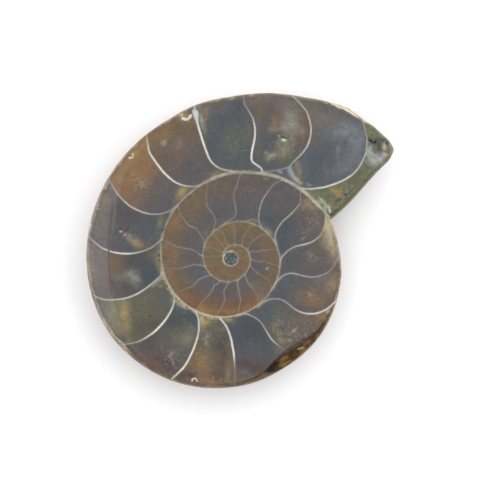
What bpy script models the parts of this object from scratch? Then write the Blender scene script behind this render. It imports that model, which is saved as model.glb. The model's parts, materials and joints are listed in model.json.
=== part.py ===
"""Half of an ammonite fossil, sawn along its coiling plane and polished.

The half lies on its convex natural side with the polished face up. The shell coils clockwise as it
grows, so going back from the lip means going anticlockwise. The fossil grew and turned to stone as
one piece, so it is one closed solid: a loft of half-whorl sections carried once round the coil.
"""

import math

import bmesh
import bpy

MM = 0.001

# Driving dimensions, in millimetres and degrees. Angles are anticlockwise from +X about the coil's
# centre, and "back" is the angle travelled back from the lip.
FACE_HEIGHT = 7.0
COIL_CENTRE = (-1.47, -2.80)

# Outside radius of the last whorl against angle, from the lip's tip to the foot of the lip.
OUTLINE = (
    (34.2, 31.45), (36.5, 31.6), (40.0, 31.35), (43.0, 31.1), (47.0, 30.75), (52.0, 30.65),
    (57.0, 29.8), (65.0, 28.5), (76.0, 27.3), (90.0, 26.0), (103.0, 25.25), (115.0, 24.4),
    (140.0, 23.7), (165.0, 23.3), (190.0, 23.15), (210.0, 22.85), (225.0, 22.4), (245.0, 21.8),
    (270.0, 20.72), (295.0, 19.55), (320.0, 18.85), (345.0, 18.05), (353.0, 17.85), (365.0, 17.4),
    (382.0, 17.05),
)
# The lip's line across the face and on over the side to the umbilicus: angle against radius.
LIP_LINE = (
    (1.6, 10.5), (6.3, 12.5), (11.0, 17.0), (17.05, 22.0), (20.8, 25.5), (25.2, 29.6), (28.0, 31.5),
    (30.0, 32.4), (31.45, 34.2),
)
# The broken lip's edge is rounded: how far it leans out, and within what depth.
LIP_LEAN = 0.35
LIP_ROUND_DEPTH = 1.5
# How far back the lip's direction still bends the sections.
LIP_SWAY_SPAN = 44.0
# The angle that a section's middle has when the lip no longer bends it.
LIP_MIDDLE = 28.0

# Thickness of the half under the face, against back. The saw ran slightly oblique to the middle
# plane, so the side lies level for most of a turn and rises only under the earliest part.
THICKNESS = ((0.0, 7.0), (200.0, 7.0), (250.0, 6.7), (295.0, 5.8), (330.0, 4.8), (360.0, 4.2))
UMBILICUS_SHARE = 0.2
# Half-whorl section: way from the rim to the umbilicus against share of the thickness.
SECTION = (
    (0.0, 0.15), (0.03, 0.32), (0.09, 0.54), (0.19, 0.75), (0.33, 0.91), (0.48, 1.0), (0.64, 1.0),
    (0.78, 0.97), (0.88, 0.88), (0.95, 0.72), (1.0, 0.52),
)
PIT_RADIUS = 1.6
PIT_HEIGHT = 5.0

# The face's edge: how wide the rounded margin is and how far it falls, against angle. Polishing
# rounded it off widely on the left and at the lower right.
EDGE_WIDTH = (
    (20.0, 0.35), (120.0, 0.6), (136.0, 1.5), (153.0, 2.8), (168.0, 3.8), (184.0, 3.6), (200.0, 2.9),
    (225.0, 1.2), (245.0, 0.6), (276.0, 0.5), (287.0, 1.4), (294.0, 2.2), (303.0, 2.1), (312.0, 1.5),
    (322.0, 0.7), (335.0, 0.4), (382.0, 0.35),
)
EDGE_FALL = (
    (20.0, 0.1), (120.0, 0.12), (168.0, 0.35), (200.0, 0.3), (245.0, 0.14), (276.0, 0.14),
    (297.0, 0.42), (312.0, 0.32), (335.0, 0.1), (382.0, 0.1),
)
# The shell swells outwards under the face where the saw passed beyond the middle plane.
SWELL = ((0.0, 0.0), (60.0, 0.05), (120.0, 0.2), (260.0, 0.3), (330.0, 0.15), (360.0, 0.05))

# The lip's line runs up to the right, so the flat face starts up and to the left of it.
HEADING_IN_FROM_TIP = 150.0
HEADING_IN_FROM_FOOT = 120.0

SECTION_COUNT = 90
LIP_COUNT = 8


def along(table, x):
    """Smooth value at x of a table of (place, value) rows, flat beyond its ends."""
    if x <= table[0][0]:
        return table[0][1]
    if x >= table[-1][0]:
        return table[-1][1]
    slopes = [(b[1] - a[1]) / (b[0] - a[0]) for a, b in zip(table, table[1:])]
    tangents = [slopes[0]]
    for before, after in zip(slopes, slopes[1:]):
        same_way = before * after > 0.0
        tangents.append(2.0 * before * after / (before + after) if same_way else 0.0)
    tangents.append(slopes[-1])
    i = max(k for k, row in enumerate(table) if row[0] <= x)
    (x0, y0), (x1, y1) = table[i], table[i + 1]
    span = x1 - x0
    t = (x - x0) / span
    start = (1.0 + 2.0 * t) * (1.0 - t) ** 2 * y0 + t * (1.0 - t) ** 2 * span * tangents[i]
    end = t * t * (3.0 - 2.0 * t) * y1 + t * t * (t - 1.0) * span * tangents[i + 1]
    return start + end


def lip_hold(back):
    """How closely the section at back follows the lip: 1 at the lip, 0 away from it."""
    away = min(back, 360.0 - back) / LIP_SWAY_SPAN
    return 0.0 if away >= 1.0 else math.cos(0.5 * math.pi * away) ** 2


def section_angle(back, radius, depth=0.0):
    """Angle in degrees of a section's point, which leans out with depth near the lip."""
    hold = lip_hold(back)
    sway = hold * (along(LIP_LINE, radius) - LIP_MIDDLE)
    lean = hold * LIP_LEAN * min(1.0, depth / LIP_ROUND_DEPTH) * min(1.0, radius / 10.0)
    return LIP_MIDDLE + back + sway - math.degrees(lean / max(radius, PIT_RADIUS))


def outside_radius(back):
    """Radius at which a section meets the outline."""
    radius = along(OUTLINE, LIP_MIDDLE + back)
    for _ in range(30):
        angle = max(section_angle(back, radius), OUTLINE[0][0])
        radius = 0.5 * (radius + along(OUTLINE, angle))
    return radius


def place(back, radius, depth):
    """World point, in metres, of a section's point at a depth under the face."""
    angle = math.radians(section_angle(back, radius, depth))
    x = COIL_CENTRE[0] + radius * math.cos(angle)
    y = COIL_CENTRE[1] + radius * math.sin(angle)
    return (x * MM, y * MM, (FACE_HEIGHT - depth) * MM)


def section_profile(back):
    """(radius, depth) rows from the flat face over the rim and the side to the umbilicus's pit."""
    outside = outside_radius(back)
    angle = section_angle(back, outside)
    rim = outside - along(SWELL, back)
    thickness = along(THICKNESS, back)
    umbilicus = UMBILICUS_SHARE * outside
    profile = [(rim - along(EDGE_WIDTH, angle), 0.0), (rim, along(EDGE_FALL, angle))]
    for way, share in SECTION:
        profile.append((outside + way * (umbilicus - outside), share * thickness))
    profile.append((PIT_RADIUS, FACE_HEIGHT - PIT_HEIGHT))
    return profile


def section_points(back):
    return [place(back, radius, depth) for radius, depth in section_profile(back)]


def lip_points(way):
    """The broken lip's points on the way from its foot, 0, to its tip, 1."""
    pairs = zip(section_profile(360.0), section_profile(0.0))
    mixed = [(a[0] + way * (b[0] - a[0]), a[1] + way * (b[1] - a[1])) for a, b in pairs]
    points = [place(0.0, radius, depth) for radius, depth in mixed]
    heading = HEADING_IN_FROM_FOOT + way * (HEADING_IN_FROM_TIP - HEADING_IN_FROM_FOOT)
    x, y, _ = points[1]
    width = EDGE_WIDTH[0][1] * MM
    turn = math.radians(heading)
    points[0] = (x + width * math.cos(turn), y + width * math.sin(turn), FACE_HEIGHT * MM)
    return points


def loft_half():
    """One closed mesh: the sections joined in a ring, the face on top and the pit's floor below."""
    bm = bmesh.new()
    rows = [section_points(360.0 * i / SECTION_COUNT) for i in range(1, SECTION_COUNT)]
    rows += [lip_points(i / LIP_COUNT) for i in range(LIP_COUNT + 1)]
    rings = [[bm.verts.new(point) for point in row] for row in rows]
    following = rings[1:] + rings[:1]
    for here, after in zip(rings, following):
        for j in range(len(here) - 1):
            bm.faces.new((here[j], here[j + 1], after[j + 1], after[j]))
    bm.faces.new([ring[0] for ring in rings])
    bm.faces.new([ring[-1] for ring in reversed(rings)])
    bmesh.ops.remove_doubles(bm, verts=bm.verts, dist=0.00001)
    bmesh.ops.recalc_face_normals(bm, faces=bm.faces)
    return bm


def stone_material():
    """Grey-brown polished calcite."""
    material = bpy.data.materials.new("polished_fossil_stone")
    material.use_nodes = True
    shader = material.node_tree.nodes["Principled BSDF"]
    shader.inputs["Base Color"].default_value = (0.14, 0.12, 0.105, 1.0)
    shader.inputs["Roughness"].default_value = 0.25
    shader.inputs["Metallic"].default_value = 0.0
    return material


def build_ammonite_half(collection):
    bm = loft_half()
    mesh = bpy.data.meshes.new("ammonite_half")
    bm.to_mesh(mesh)
    bm.free()
    mesh.shade_smooth()
    mesh.set_sharp_from_angle(angle=math.radians(35.0))
    mesh.materials.append(stone_material())
    half = bpy.data.objects.new("ammonite_half", mesh)
    collection.objects.link(half)
    return half


def main():
    for old in list(bpy.data.objects):
        bpy.data.objects.remove(old, do_unlink=True)
    collection = bpy.data.collections.new("ammonite_fossil")
    bpy.context.scene.collection.children.link(collection)
    build_ammonite_half(collection)


main()
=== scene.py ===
"""Looks of the ammonite half: its polished face, the natural shell round it and the broken lip.

Lengths are in millimetres until a mesh is made, and x and y count from the coil's centre. Places on
the coil are given by s, the angle in degrees travelled back from the lip along the coil (360 more
each whorl), and v, the way across the whorl from its inner wall, 0, to its outer wall, 1.
"""

import json
import math

import bpy
import numpy as np
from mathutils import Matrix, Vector
from mathutils.geometry import delaunay_2d_cdt


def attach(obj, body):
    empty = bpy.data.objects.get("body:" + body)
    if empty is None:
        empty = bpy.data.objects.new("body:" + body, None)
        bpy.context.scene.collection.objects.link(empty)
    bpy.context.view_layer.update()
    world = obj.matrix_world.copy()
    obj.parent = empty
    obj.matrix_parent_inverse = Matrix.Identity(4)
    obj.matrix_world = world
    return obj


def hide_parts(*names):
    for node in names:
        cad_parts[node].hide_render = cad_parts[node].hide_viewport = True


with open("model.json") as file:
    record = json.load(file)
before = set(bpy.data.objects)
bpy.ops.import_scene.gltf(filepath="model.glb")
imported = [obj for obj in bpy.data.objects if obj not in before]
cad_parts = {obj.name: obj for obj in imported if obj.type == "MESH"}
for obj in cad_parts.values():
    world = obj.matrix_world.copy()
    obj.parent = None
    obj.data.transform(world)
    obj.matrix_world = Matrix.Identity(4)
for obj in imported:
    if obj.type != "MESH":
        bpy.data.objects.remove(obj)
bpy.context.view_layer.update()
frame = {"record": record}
MM = 0.001
NODE = "ammonite_half"
FACE_MOUNT = next(m for m in frame["record"]["mounts"] if m["name"] == "polished_face")
CENTRE = np.array(FACE_MOUNT["pos_m"]) / MM
FACE_HEIGHT = CENTRE[2]

# ---------------------------------------------------------------- the form, as the CAD model has it

# Radius of the coil's walls against s. The first whorl's outer wall is the outline.
OUTLINE_END = 382.0
WALL = (
    (34.2, 31.45), (36.5, 31.6), (40.0, 31.35), (43.0, 31.1), (47.0, 30.75), (52.0, 30.65),
    (57.0, 29.8), (65.0, 28.5), (76.0, 27.3), (90.0, 26.0), (103.0, 25.25), (115.0, 24.4),
    (140.0, 23.7), (165.0, 23.3), (190.0, 23.15), (210.0, 23.0), (225.0, 22.5), (245.0, 21.8),
    (270.0, 20.72), (280.0, 20.33), (295.0, 19.6), (320.0, 18.9), (345.0, 18.05), (353.0, 17.85), (365.0, 17.4),
    (OUTLINE_END, 17.05), (390.0, 16.4), (405.0, 15.7), (420.0, 15.0), (435.0, 14.2), (450.0, 13.65),
    (465.0, 13.0), (480.0, 12.4), (510.0, 11.75), (540.0, 11.15), (570.0, 10.7), (600.0, 10.0),
    (630.0, 9.3), (660.0, 8.6), (690.0, 8.1), (720.0, 7.8), (750.0, 7.2), (780.0, 6.5), (810.0, 5.75),
    (840.0, 5.15), (870.0, 4.75), (900.0, 4.45), (930.0, 4.2), (960.0, 3.95), (990.0, 3.72),
    (1020.0, 3.45), (1050.0, 3.2), (1080.0, 3.05), (1110.0, 2.8), (1140.0, 2.4), (1170.0, 2.05),
    (1200.0, 1.65), (1230.0, 1.4), (1260.0, 1.2),
)
LIP_LINE = (
    (1.6, 10.5), (6.3, 12.5), (11.0, 17.0), (17.05, 22.0), (20.8, 25.5), (25.2, 29.6), (28.0, 31.5),
    (30.0, 32.4), (31.45, 34.2),
)
LIP_LEAN = 0.35
LIP_ROUND_DEPTH = 1.5
LIP_SWAY_SPAN = 44.0
LIP_MIDDLE = 28.0
THICKNESS = ((0.0, 7.0), (200.0, 7.0), (250.0, 6.7), (295.0, 5.8), (330.0, 4.8), (360.0, 4.2))
UMBILICUS_SHARE = 0.2
SECTION = (
    (0.0, 0.15), (0.03, 0.32), (0.09, 0.54), (0.19, 0.75), (0.33, 0.91), (0.48, 1.0), (0.64, 1.0),
    (0.78, 0.97), (0.88, 0.88), (0.95, 0.72), (1.0, 0.52),
)
PIT_RADIUS = 1.6
PIT_HEIGHT = 5.0
EDGE_WIDTH = (
    (20.0, 0.35), (120.0, 0.6), (136.0, 1.5), (153.0, 2.8), (168.0, 3.8), (184.0, 3.6), (200.0, 2.9),
    (225.0, 1.2), (245.0, 0.6), (276.0, 0.5), (287.0, 1.0), (294.0, 1.8), (303.0, 2.1), (312.0, 1.5),
    (322.0, 0.7), (335.0, 0.4), (382.0, 0.35),
)
EDGE_FALL = (
    (20.0, 0.1), (120.0, 0.12), (168.0, 0.35), (200.0, 0.3), (245.0, 0.14), (276.0, 0.14),
    (297.0, 0.42), (312.0, 0.32), (335.0, 0.1), (382.0, 0.1),
)
SWELL = ((0.0, 0.0), (60.0, 0.05), (120.0, 0.2), (260.0, 0.3), (330.0, 0.15), (360.0, 0.05))
# How far the face's rim is worn back from the outline, against angle: most where the outer shell
# still stands beside it near the lip.
WORN_BACK = (
    (34.0, 0.1), (38.0, 0.06), (44.0, 0.08), (47.5, 0.3), (50.0, 0.5), (53.5, 0.5), (56.5, 0.25),
    (59.0, 0.06), (120.0, 0.06), (200.0, 0.1), (215.0, 0.18), (235.0, 0.06), (382.0, 0.05),
)
# Chips out of the rim: angle, half width in degrees, depth. The last one stands out instead.
CHIPS = (
    (56.8, 0.5, 0.12), (63.0, 0.6, 0.07), (71.0, 0.8, 0.10), (82.5, 0.8, 0.07), (94.5, 0.7, 0.10),
    (99.0, 0.6, 0.08), (106.5, 0.8, 0.16), (112.0, 0.5, 0.10), (118.0, 0.7, 0.10), (126.0, 0.6, 0.08),
    (134.0, 0.6, 0.10), (151.0, 0.8, 0.10), (158.0, 0.5, 0.08), (196.0, 0.8, 0.08), (205.5, 0.9, 0.14),
    (211.5, 0.7, 0.16), (218.5, 0.8, 0.24), (226.0, 0.6, 0.12), (232.0, 0.7, 0.10), (238.5, 0.8, 0.22),
    (246.0, 0.7, 0.16), (256.0, 0.9, 0.07), (277.0, 0.7, 0.10), (286.5, 0.9, 0.14), (300.5, 0.7, 0.10),
    (311.5, 0.6, 0.12), (317.5, 0.7, 0.18), (324.0, 0.8, 0.14), (349.5, 0.6, 0.20), (353.2, 1.0, -0.10),
)

COLUMNS = 420
SIDE_ROWS = 90
LIP_COLUMNS = 100
LATTICE_OUTER, LATTICE_INNER, LATTICE_CHANGE = 0.168, 0.132, 12.0

# ---------------------------------------------------------------- the shell's partitions

# Each partition: points along it, then how bright it is at its foot, low, in its middle, high and at
# its top.
GLOW_V = (0.0, 0.22, 0.5, 0.78, 1.0)
SEPTA = (
    (((11.4, 11.2), (12.2, 11.1), (13.0, 11.12), (14.0, 11.25), (15.0, 11.4), (16.0, 11.7), (17.0, 12.05),
      (18.0, 12.5), (19.0, 13.1), (19.7, 13.65), (20.3, 14.35), (20.9, 15.3), (21.35, 16.3),
      (21.65, 17.3), (21.75, 19.2), (21.4, 20.8), (21.2, 21.4), (21.1, 22.3)),
      (0.55, 0.85, 0.72, 0.5, 0.35)),
    (((9.3, 26.4), (10.6, 25.25), (11.8, 23.9), (12.3, 23.0), (12.75, 21.3), (12.8, 20.4), (12.7, 19.5),
      (12.5, 18.7), (12.2, 17.95), (11.7, 17.2), (11.1, 16.5), (9.9, 15.35), (9.4, 14.75), (8.6, 14.4),
      (7.5, 14.15), (5.6, 13.9)), (0.25, 0.45, 0.7, 0.62, 0.4)),
    (((1.95, 26.35), (2.05, 25.1), (2.3, 24.4), (3.3, 22.8), (3.6, 22.0), (3.8, 21.0), (3.85, 20.0),
      (3.75, 19.0), (3.38, 17.2), (3.27, 16.3), (3.32, 15.7), (3.6, 15.3), (4.7, 14.5), (5.0, 14.0),
      (5.0, 13.7)), (0.7, 1.0, 0.85, 0.42, 0.25)),
    (((-5.85, 24.5), (-5.75, 23.5), (-5.45, 22.0), (-5.2, 21.0), (-4.9, 20.0), (-4.6, 19.0),
      (-4.27, 18.0), (-3.9, 17.0), (-3.5, 16.0), (-3.05, 15.35), (-2.5, 14.85), (-1.8, 14.42),
      (-1.0, 14.15), (1.0, 13.8)), (0.5, 0.8, 1.0, 0.95, 0.6)),
    (((-13.55, 19.9), (-13.3, 18.2), (-13.15, 17.3), (-12.85, 16.6), (-12.25, 15.7), (-11.6, 14.8),
      (-10.9, 13.9), (-10.1, 13.1), (-9.3, 12.42), (-8.5, 11.97), (-7.6, 11.67), (-6.8, 11.52),
      (-6.0, 11.5), (-5.2, 11.62)), (0.4, 0.8, 1.0, 0.85, 0.3)),
    (((-19.7, 12.9), (-18.7, 11.1), (-18.0, 10.1), (-17.2, 9.25), (-16.3, 8.45), (-15.4, 7.92),
      (-14.4, 7.47), (-13.4, 7.17), (-12.3, 7.05), (-11.3, 7.13), (-10.4, 7.35), (-9.6, 7.7),
      (-9.1, 8.05)), (0.3, 0.5, 0.66, 0.5, 0.3)),
    (((-22.9, 3.7), (-22.2, 2.9), (-20.8, 1.75), (-20.0, 1.37), (-19.0, 1.02), (-18.0, 0.83),
      (-17.0, 0.75), (-16.0, 0.76), (-15.0, 0.92), (-14.0, 1.17), (-13.0, 1.55), (-12.3, 2.0),
      (-11.3, 2.85), (-11.1, 3.2)), (0.4, 0.5, 0.85, 0.6, 0.35)),
    (((-22.4, -5.75), (-21.5, -6.2), (-20.5, -6.55), (-19.3, -6.65), (-18.0, -6.57), (-17.0, -6.42),
      (-16.0, -6.12), (-15.0, -5.68), (-14.0, -5.07), (-13.0, -4.33), (-11.7, -3.2), (-10.95, -2.3)),
      (0.4, 0.66, 0.76, 0.6, 0.45)),
    (((-18.0, -13.9), (-17.0, -13.77), (-16.0, -13.62), (-15.0, -13.38), (-14.0, -12.93), (-13.0, -12.3),
      (-12.0, -11.52), (-10.6, -9.98), (-9.6, -8.4), (-9.1, -7.1), (-9.0, -6.4)),
      (0.5, 0.85, 1.0, 0.5, 0.3)),
    (((-9.7, -19.55), (-8.2, -18.1), (-7.5, -17.35), (-6.9, -16.4), (-6.4, -15.4), (-6.0, -14.5),
      (-5.6, -13.4), (-5.3, -12.3), (-5.15, -11.3), (-5.25, -9.6), (-5.75, -8.35)),
      (0.6, 0.8, 0.92, 0.95, 0.6)),
    (((0.65, -20.6), (0.65, -19.0), (0.65, -18.0), (0.6, -17.0), (0.5, -16.0), (0.42, -15.0),
      (0.22, -14.0), (0.05, -13.0), (-0.5, -11.4), (-0.95, -10.6), (-1.9, -9.4)),
      (0.75, 0.85, 0.95, 0.22, 0.12)),
    (((10.9, -16.0), (9.0, -14.9), (7.7, -14.05), (6.5, -12.95), (5.7, -11.7), (4.9, -10.42), (4.0, -9.6),
      (2.8, -9.02), (2.2, -8.87), (1.7, -8.95)), (0.5, 0.4, 0.65, 0.12, 0.0)),
    (((16.8, -6.8), (15.5, -8.0), (14.0, -8.72), (13.0, -8.87), (12.0, -8.83), (11.2, -8.63),
      (10.5, -8.3), (9.8, -7.83), (9.2, -7.3), (8.0, -6.6), (6.5, -6.5), (5.2, -7.0), (4.8, -7.3)),
      (0.4, 0.42, 0.6, 0.85, 0.75)),
    (((17.35, 0.9), (16.9, -0.4), (16.4, -1.35), (15.8, -2.0), (15.0, -2.5), (14.0, -2.85), (13.0, -3.0),
      (12.0, -2.9), (10.0, -2.42), (9.0, -2.5), (8.3, -2.82), (7.3, -3.7), (7.05, -4.1)),
      (0.45, 0.52, 0.48, 0.36, 0.3)),
    (((15.15, 7.3), (15.08, 6.3), (14.95, 5.3), (14.75, 4.6), (14.4, 3.9), (13.8, 3.2), (13.0, 2.65),
      (12.0, 2.3), (10.2, 1.85), (9.0, 1.12), (8.1, 0.1), (7.85, -0.4)), (0.5, 0.5, 0.66, 0.4, 0.35)),
    (((11.15, 11.1), (11.1, 10.2), (11.1, 9.2), (10.9, 8.6), (9.8, 7.3), (9.2, 6.72), (8.1, 5.7),
      (7.35, 4.5), (7.05, 3.4), (7.1, 2.8)), (0.4, 0.5, 0.5, 0.35, 0.25)),
    (((8.5, 12.55), (7.4, 12.2), (6.8, 11.75), (6.2, 11.05), (5.1, 9.4), (4.55, 7.7), (4.45, 6.2),
      (4.75, 5.2)), (0.4, 0.4, 0.42, 0.3, 0.25)),
    (((1.55, 13.7), (0.95, 11.8), (0.65, 10.9), (0.45, 10.0), (0.5, 9.2), (0.7, 8.4), (0.82, 7.6),
      (0.78, 7.1), (0.55, 6.65), (0.1, 6.3), (-0.6, 5.95), (-1.2, 5.4)), (0.23, 0.31, 0.25, 0.27, 0.2)),
    (((-3.7, 12.4), (-3.9, 11.0), (-3.95, 9.5), (-3.85, 8.6), (-3.6, 8.0), (-3.1, 7.4), (-2.5, 6.2),
      (-2.65, 4.9), (-2.9, 4.25)), (0.2, 0.23, 0.23, 0.16, 0.12)),
    (((-8.5, 8.4), (-8.0, 7.0), (-7.4, 6.05), (-6.8, 5.35), (-6.2, 5.0), (-5.4, 4.6), (-4.7, 3.5),
      (-4.2, 2.2)), (0.23, 0.23, 0.28, 0.2, 0.16)),
    (((-11.0, 3.1), (-10.0, 2.5), (-8.4, 1.78), (-6.5, 1.5), (-5.9, 1.25), (-4.8, 0.5), (-4.5, 0.4)),
      (0.31, 0.27, 0.27, 0.2, 0.12)),
    (((-10.9, -1.5), (-9.0, -1.65), (-8.0, -1.62), (-6.3, -1.1), (-5.7, -1.02), (-4.35, -1.2)),
      (0.33, 0.3, 0.23, 0.16, 0.094)),
    (((-9.0, -5.75), (-7.5, -4.95), (-6.6, -4.65), (-6.0, -4.3), (-5.0, -3.32), (-3.2, -2.65)),
      (0.27, 0.28, 0.25, 0.16, 0.094)),
    (((-5.7, -8.3), (-4.6, -6.95), (-3.5, -5.85), (-3.2, -5.2), (-2.6, -4.3), (-2.1, -3.9),
      (-1.65, -3.45)), (0.31, 0.28, 0.25, 0.17, 0.12)),
    (((-2.3, -9.25), (-1.8, -8.3), (-1.2, -7.2), (-1.0, -6.5), (-1.1, -5.6), (-1.0, -5.0), (-0.7, -4.5),
      (-0.35, -3.7)), (0.31, 0.28, 0.27, 0.2, 0.12)),
    (((1.1, -9.0), (1.5, -6.8), (1.5, -6.2), (1.12, -4.8), (1.2, -3.4)), (0.33, 0.31, 0.27, 0.23, 0.16)),
    (((4.35, -7.4), (4.1, -6.0), (3.6, -5.0), (2.7, -3.85), (2.45, -3.2), (2.15, -2.6)),
      (0.27, 0.28, 0.22, 0.16, 0.094)),
    (((6.6, -4.9), (6.1, -3.8), (5.5, -3.1), (4.2, -2.3), (3.7, -2.0), (3.35, -1.5), (2.9, -1.05)),
      (0.23, 0.23, 0.2, 0.16, 0.094)),
    (((7.7, -1.3), (5.5, -0.6), (4.5, -0.52), (3.7, -0.4), (3.05, -0.1)), (0.2, 0.2, 0.19, 0.16, 0.094)),
    (((7.4, 1.4), (6.0, 1.35), (5.0, 1.3), (4.3, 1.1), (2.8, 1.0)), (0.2, 0.23, 0.22, 0.17, 0.12)),
    (((6.05, 3.8), (5.0, 3.75), (3.6, 2.9), (3.0, 2.2), (2.6, 1.2)), (0.2, 0.2, 0.22, 0.2, 0.12)),
    (((3.8, 5.3), (2.9, 4.9), (2.0, 3.4), (1.7, 2.0)), (0.2, 0.2, 0.2, 0.17, 0.12)),
    (((0.1, 5.7), (0.4, 4.8), (0.52, 3.8), (0.65, 2.3)), (0.14, 0.19, 0.19, 0.16, 0.094)),
    (((-2.3, 4.7), (-1.5, 4.15), (-1.0, 3.5), (-0.75, 2.8), (-0.2, 2.0)),
      (0.14, 0.17, 0.19, 0.16, 0.094)),
    (((-3.2, 3.8), (-2.3, 3.1), (-1.7, 2.5), (-1.3, 1.9), (-0.75, 1.5)), (0.14, 0.16, 0.17, 0.16, 0.094)),
    (((-4.25, 1.75), (-3.4, 1.75), (-2.5, 1.5), (-1.2, 0.9)), (0.14, 0.16, 0.17, 0.16, 0.094)),
    (((-4.4, 0.05), (-3.7, 0.35), (-3.0, 0.4), (-2.0, 0.35), (-1.35, 0.4)),
      (0.16, 0.16, 0.17, 0.16, 0.094)),
)
# The earliest partitions are alike and evenly spaced: s along one, less the s of its middle.
EARLY_FIRST, EARLY_STEP, EARLY_LAST = 916.0, 24.0, 1215.0
EARLY_SHAPE = ((0.0, -8.0), (0.25, -2.0), (0.5, 0.0), (0.75, 3.0), (1.0, 7.0))
EARLY_GLOW = (0.04, 0.05, 0.05, 0.04, 0.02)
# Half width of a partition's bright core and of its soft edge, thin where faint and wide where bright.
CORE_FAINT, CORE_BRIGHT, LINE_SOFT = 0.015, 0.11, 0.09

# Walls between whorls: brightness against s, and half width.
WALL_LOOK = (
    (382.0, 0.8), (410.0, 0.85), (430.0, 0.72), (450.0, 0.6), (463.0, 0.75), (476.0, 0.72),
    (492.0, 0.5), (530.0, 0.45), (550.0, 0.62), (575.0, 0.75), (585.0, 0.9), (600.0, 0.95),
    (636.0, 0.9), (653.0, 0.62), (690.0, 0.48), (709.0, 0.5), (740.0, 0.48), (760.0, 0.52),
    (800.0, 0.42), (870.0, 0.42), (920.0, 0.5), (980.0, 0.55), (1030.0, 0.42), (1080.0, 0.45),
    (1130.0, 0.42), (1200.0, 0.45), (1250.0, 0.35),
)
WALL_HALF = ((382.0, 0.09), (740.0, 0.08), (900.0, 0.07), (1100.0, 0.06), (1250.0, 0.05))
WALL_SOFT = 0.11

# ---------------------------------------------------------------- colours, as seen through the polish

PALETTE = {
    "slate": (90, 94, 98), "deep_slate": (81, 86, 91), "blue_slate": (82, 91, 97),
    "light_slate": (95, 99, 104), "pale_slate": (122, 126, 132), "green_slate": (86, 91, 88),
    "green_grey": (105, 107, 95), "mauve": (104, 96, 94), "mauve_slate": (98, 95, 97),
    "deep_mauve": (88, 76, 76), "plum": (84, 74, 78), "pale_mauve": (118, 110, 106),
    "brown": (115, 100, 84), "deep_brown": (88, 72, 60), "orange": (140, 111, 83),
    "rust": (122, 94, 74), "amber": (148, 121, 80), "gold": (165, 145, 98), "olive": (112, 107, 88),
    "pale_olive": (134, 129, 108), "yellow_olive": (138, 128, 90), "tan": (146, 130, 104),
    "pale": (146, 144, 132), "cream": (182, 170, 140), "white": (215, 210, 196),
    "blue_white": (160, 167, 172), "near_black": (44, 37, 30), "burnt": (84, 58, 36),
    "burnt_tan": (150, 122, 80), "matrix": (106, 109, 90), "matrix_green": (104, 112, 86),
    "matrix_dark": (74, 80, 68), "matrix_pale": (162, 166, 156), "matrix_olive": (120, 121, 82),
    "ochre": (168, 126, 62), "early": (123, 105, 83), "core_green": (80, 89, 87),
    "milk": (228, 224, 213), "blue_milk": (206, 210, 212), "dun": (100, 98, 89), "wall_cream": (188, 182, 160),
    "shell_tan": (160, 150, 130), "shell_cream": (222, 211, 188),
}
# How much light the polish adds everywhere on the face, and how much falls on it, as linear values.
VEIL = 0.062
GAIN = 1.25

# Each chamber from the lip inwards: its colour at the inner wall and at the outer wall.
CHAMBERS = (
    ("matrix", "matrix"), ("light_slate", "light_slate"), ("slate", "mauve"), ("slate", "slate"),
    ("mauve_slate", "brown"), ("mauve_slate", "orange"), ("slate", "mauve_slate"),
    ("deep_slate", "mauve"), ("dun", "dun"), ("deep_slate", "mauve"),
    ("dun", "brown"), ("deep_slate", "mauve_slate"), ("mauve_slate", "mauve"),
    ("slate", "mauve"), ("mauve_slate", "mauve"), ("slate", "mauve"), ("slate", "mauve_slate"),
    ("mauve_slate", "mauve"), ("mauve_slate", "mauve"), ("mauve", "brown"), ("mauve_slate", "brown"),
    ("mauve_slate", "brown"), ("slate", "brown"), ("mauve_slate", "rust"), ("mauve_slate", "rust"),
    ("mauve_slate", "rust"), ("mauve_slate", "rust"), ("mauve", "brown"), ("mauve_slate", "brown"),
    ("mauve", "brown"), ("mauve", "brown"), ("brown", "brown"), ("brown", "early"),
    ("brown", "early"), ("early", "early"), ("early", "early"), ("early", "early"),
)
EARLY_COLOURS = ("early", "early")

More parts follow.
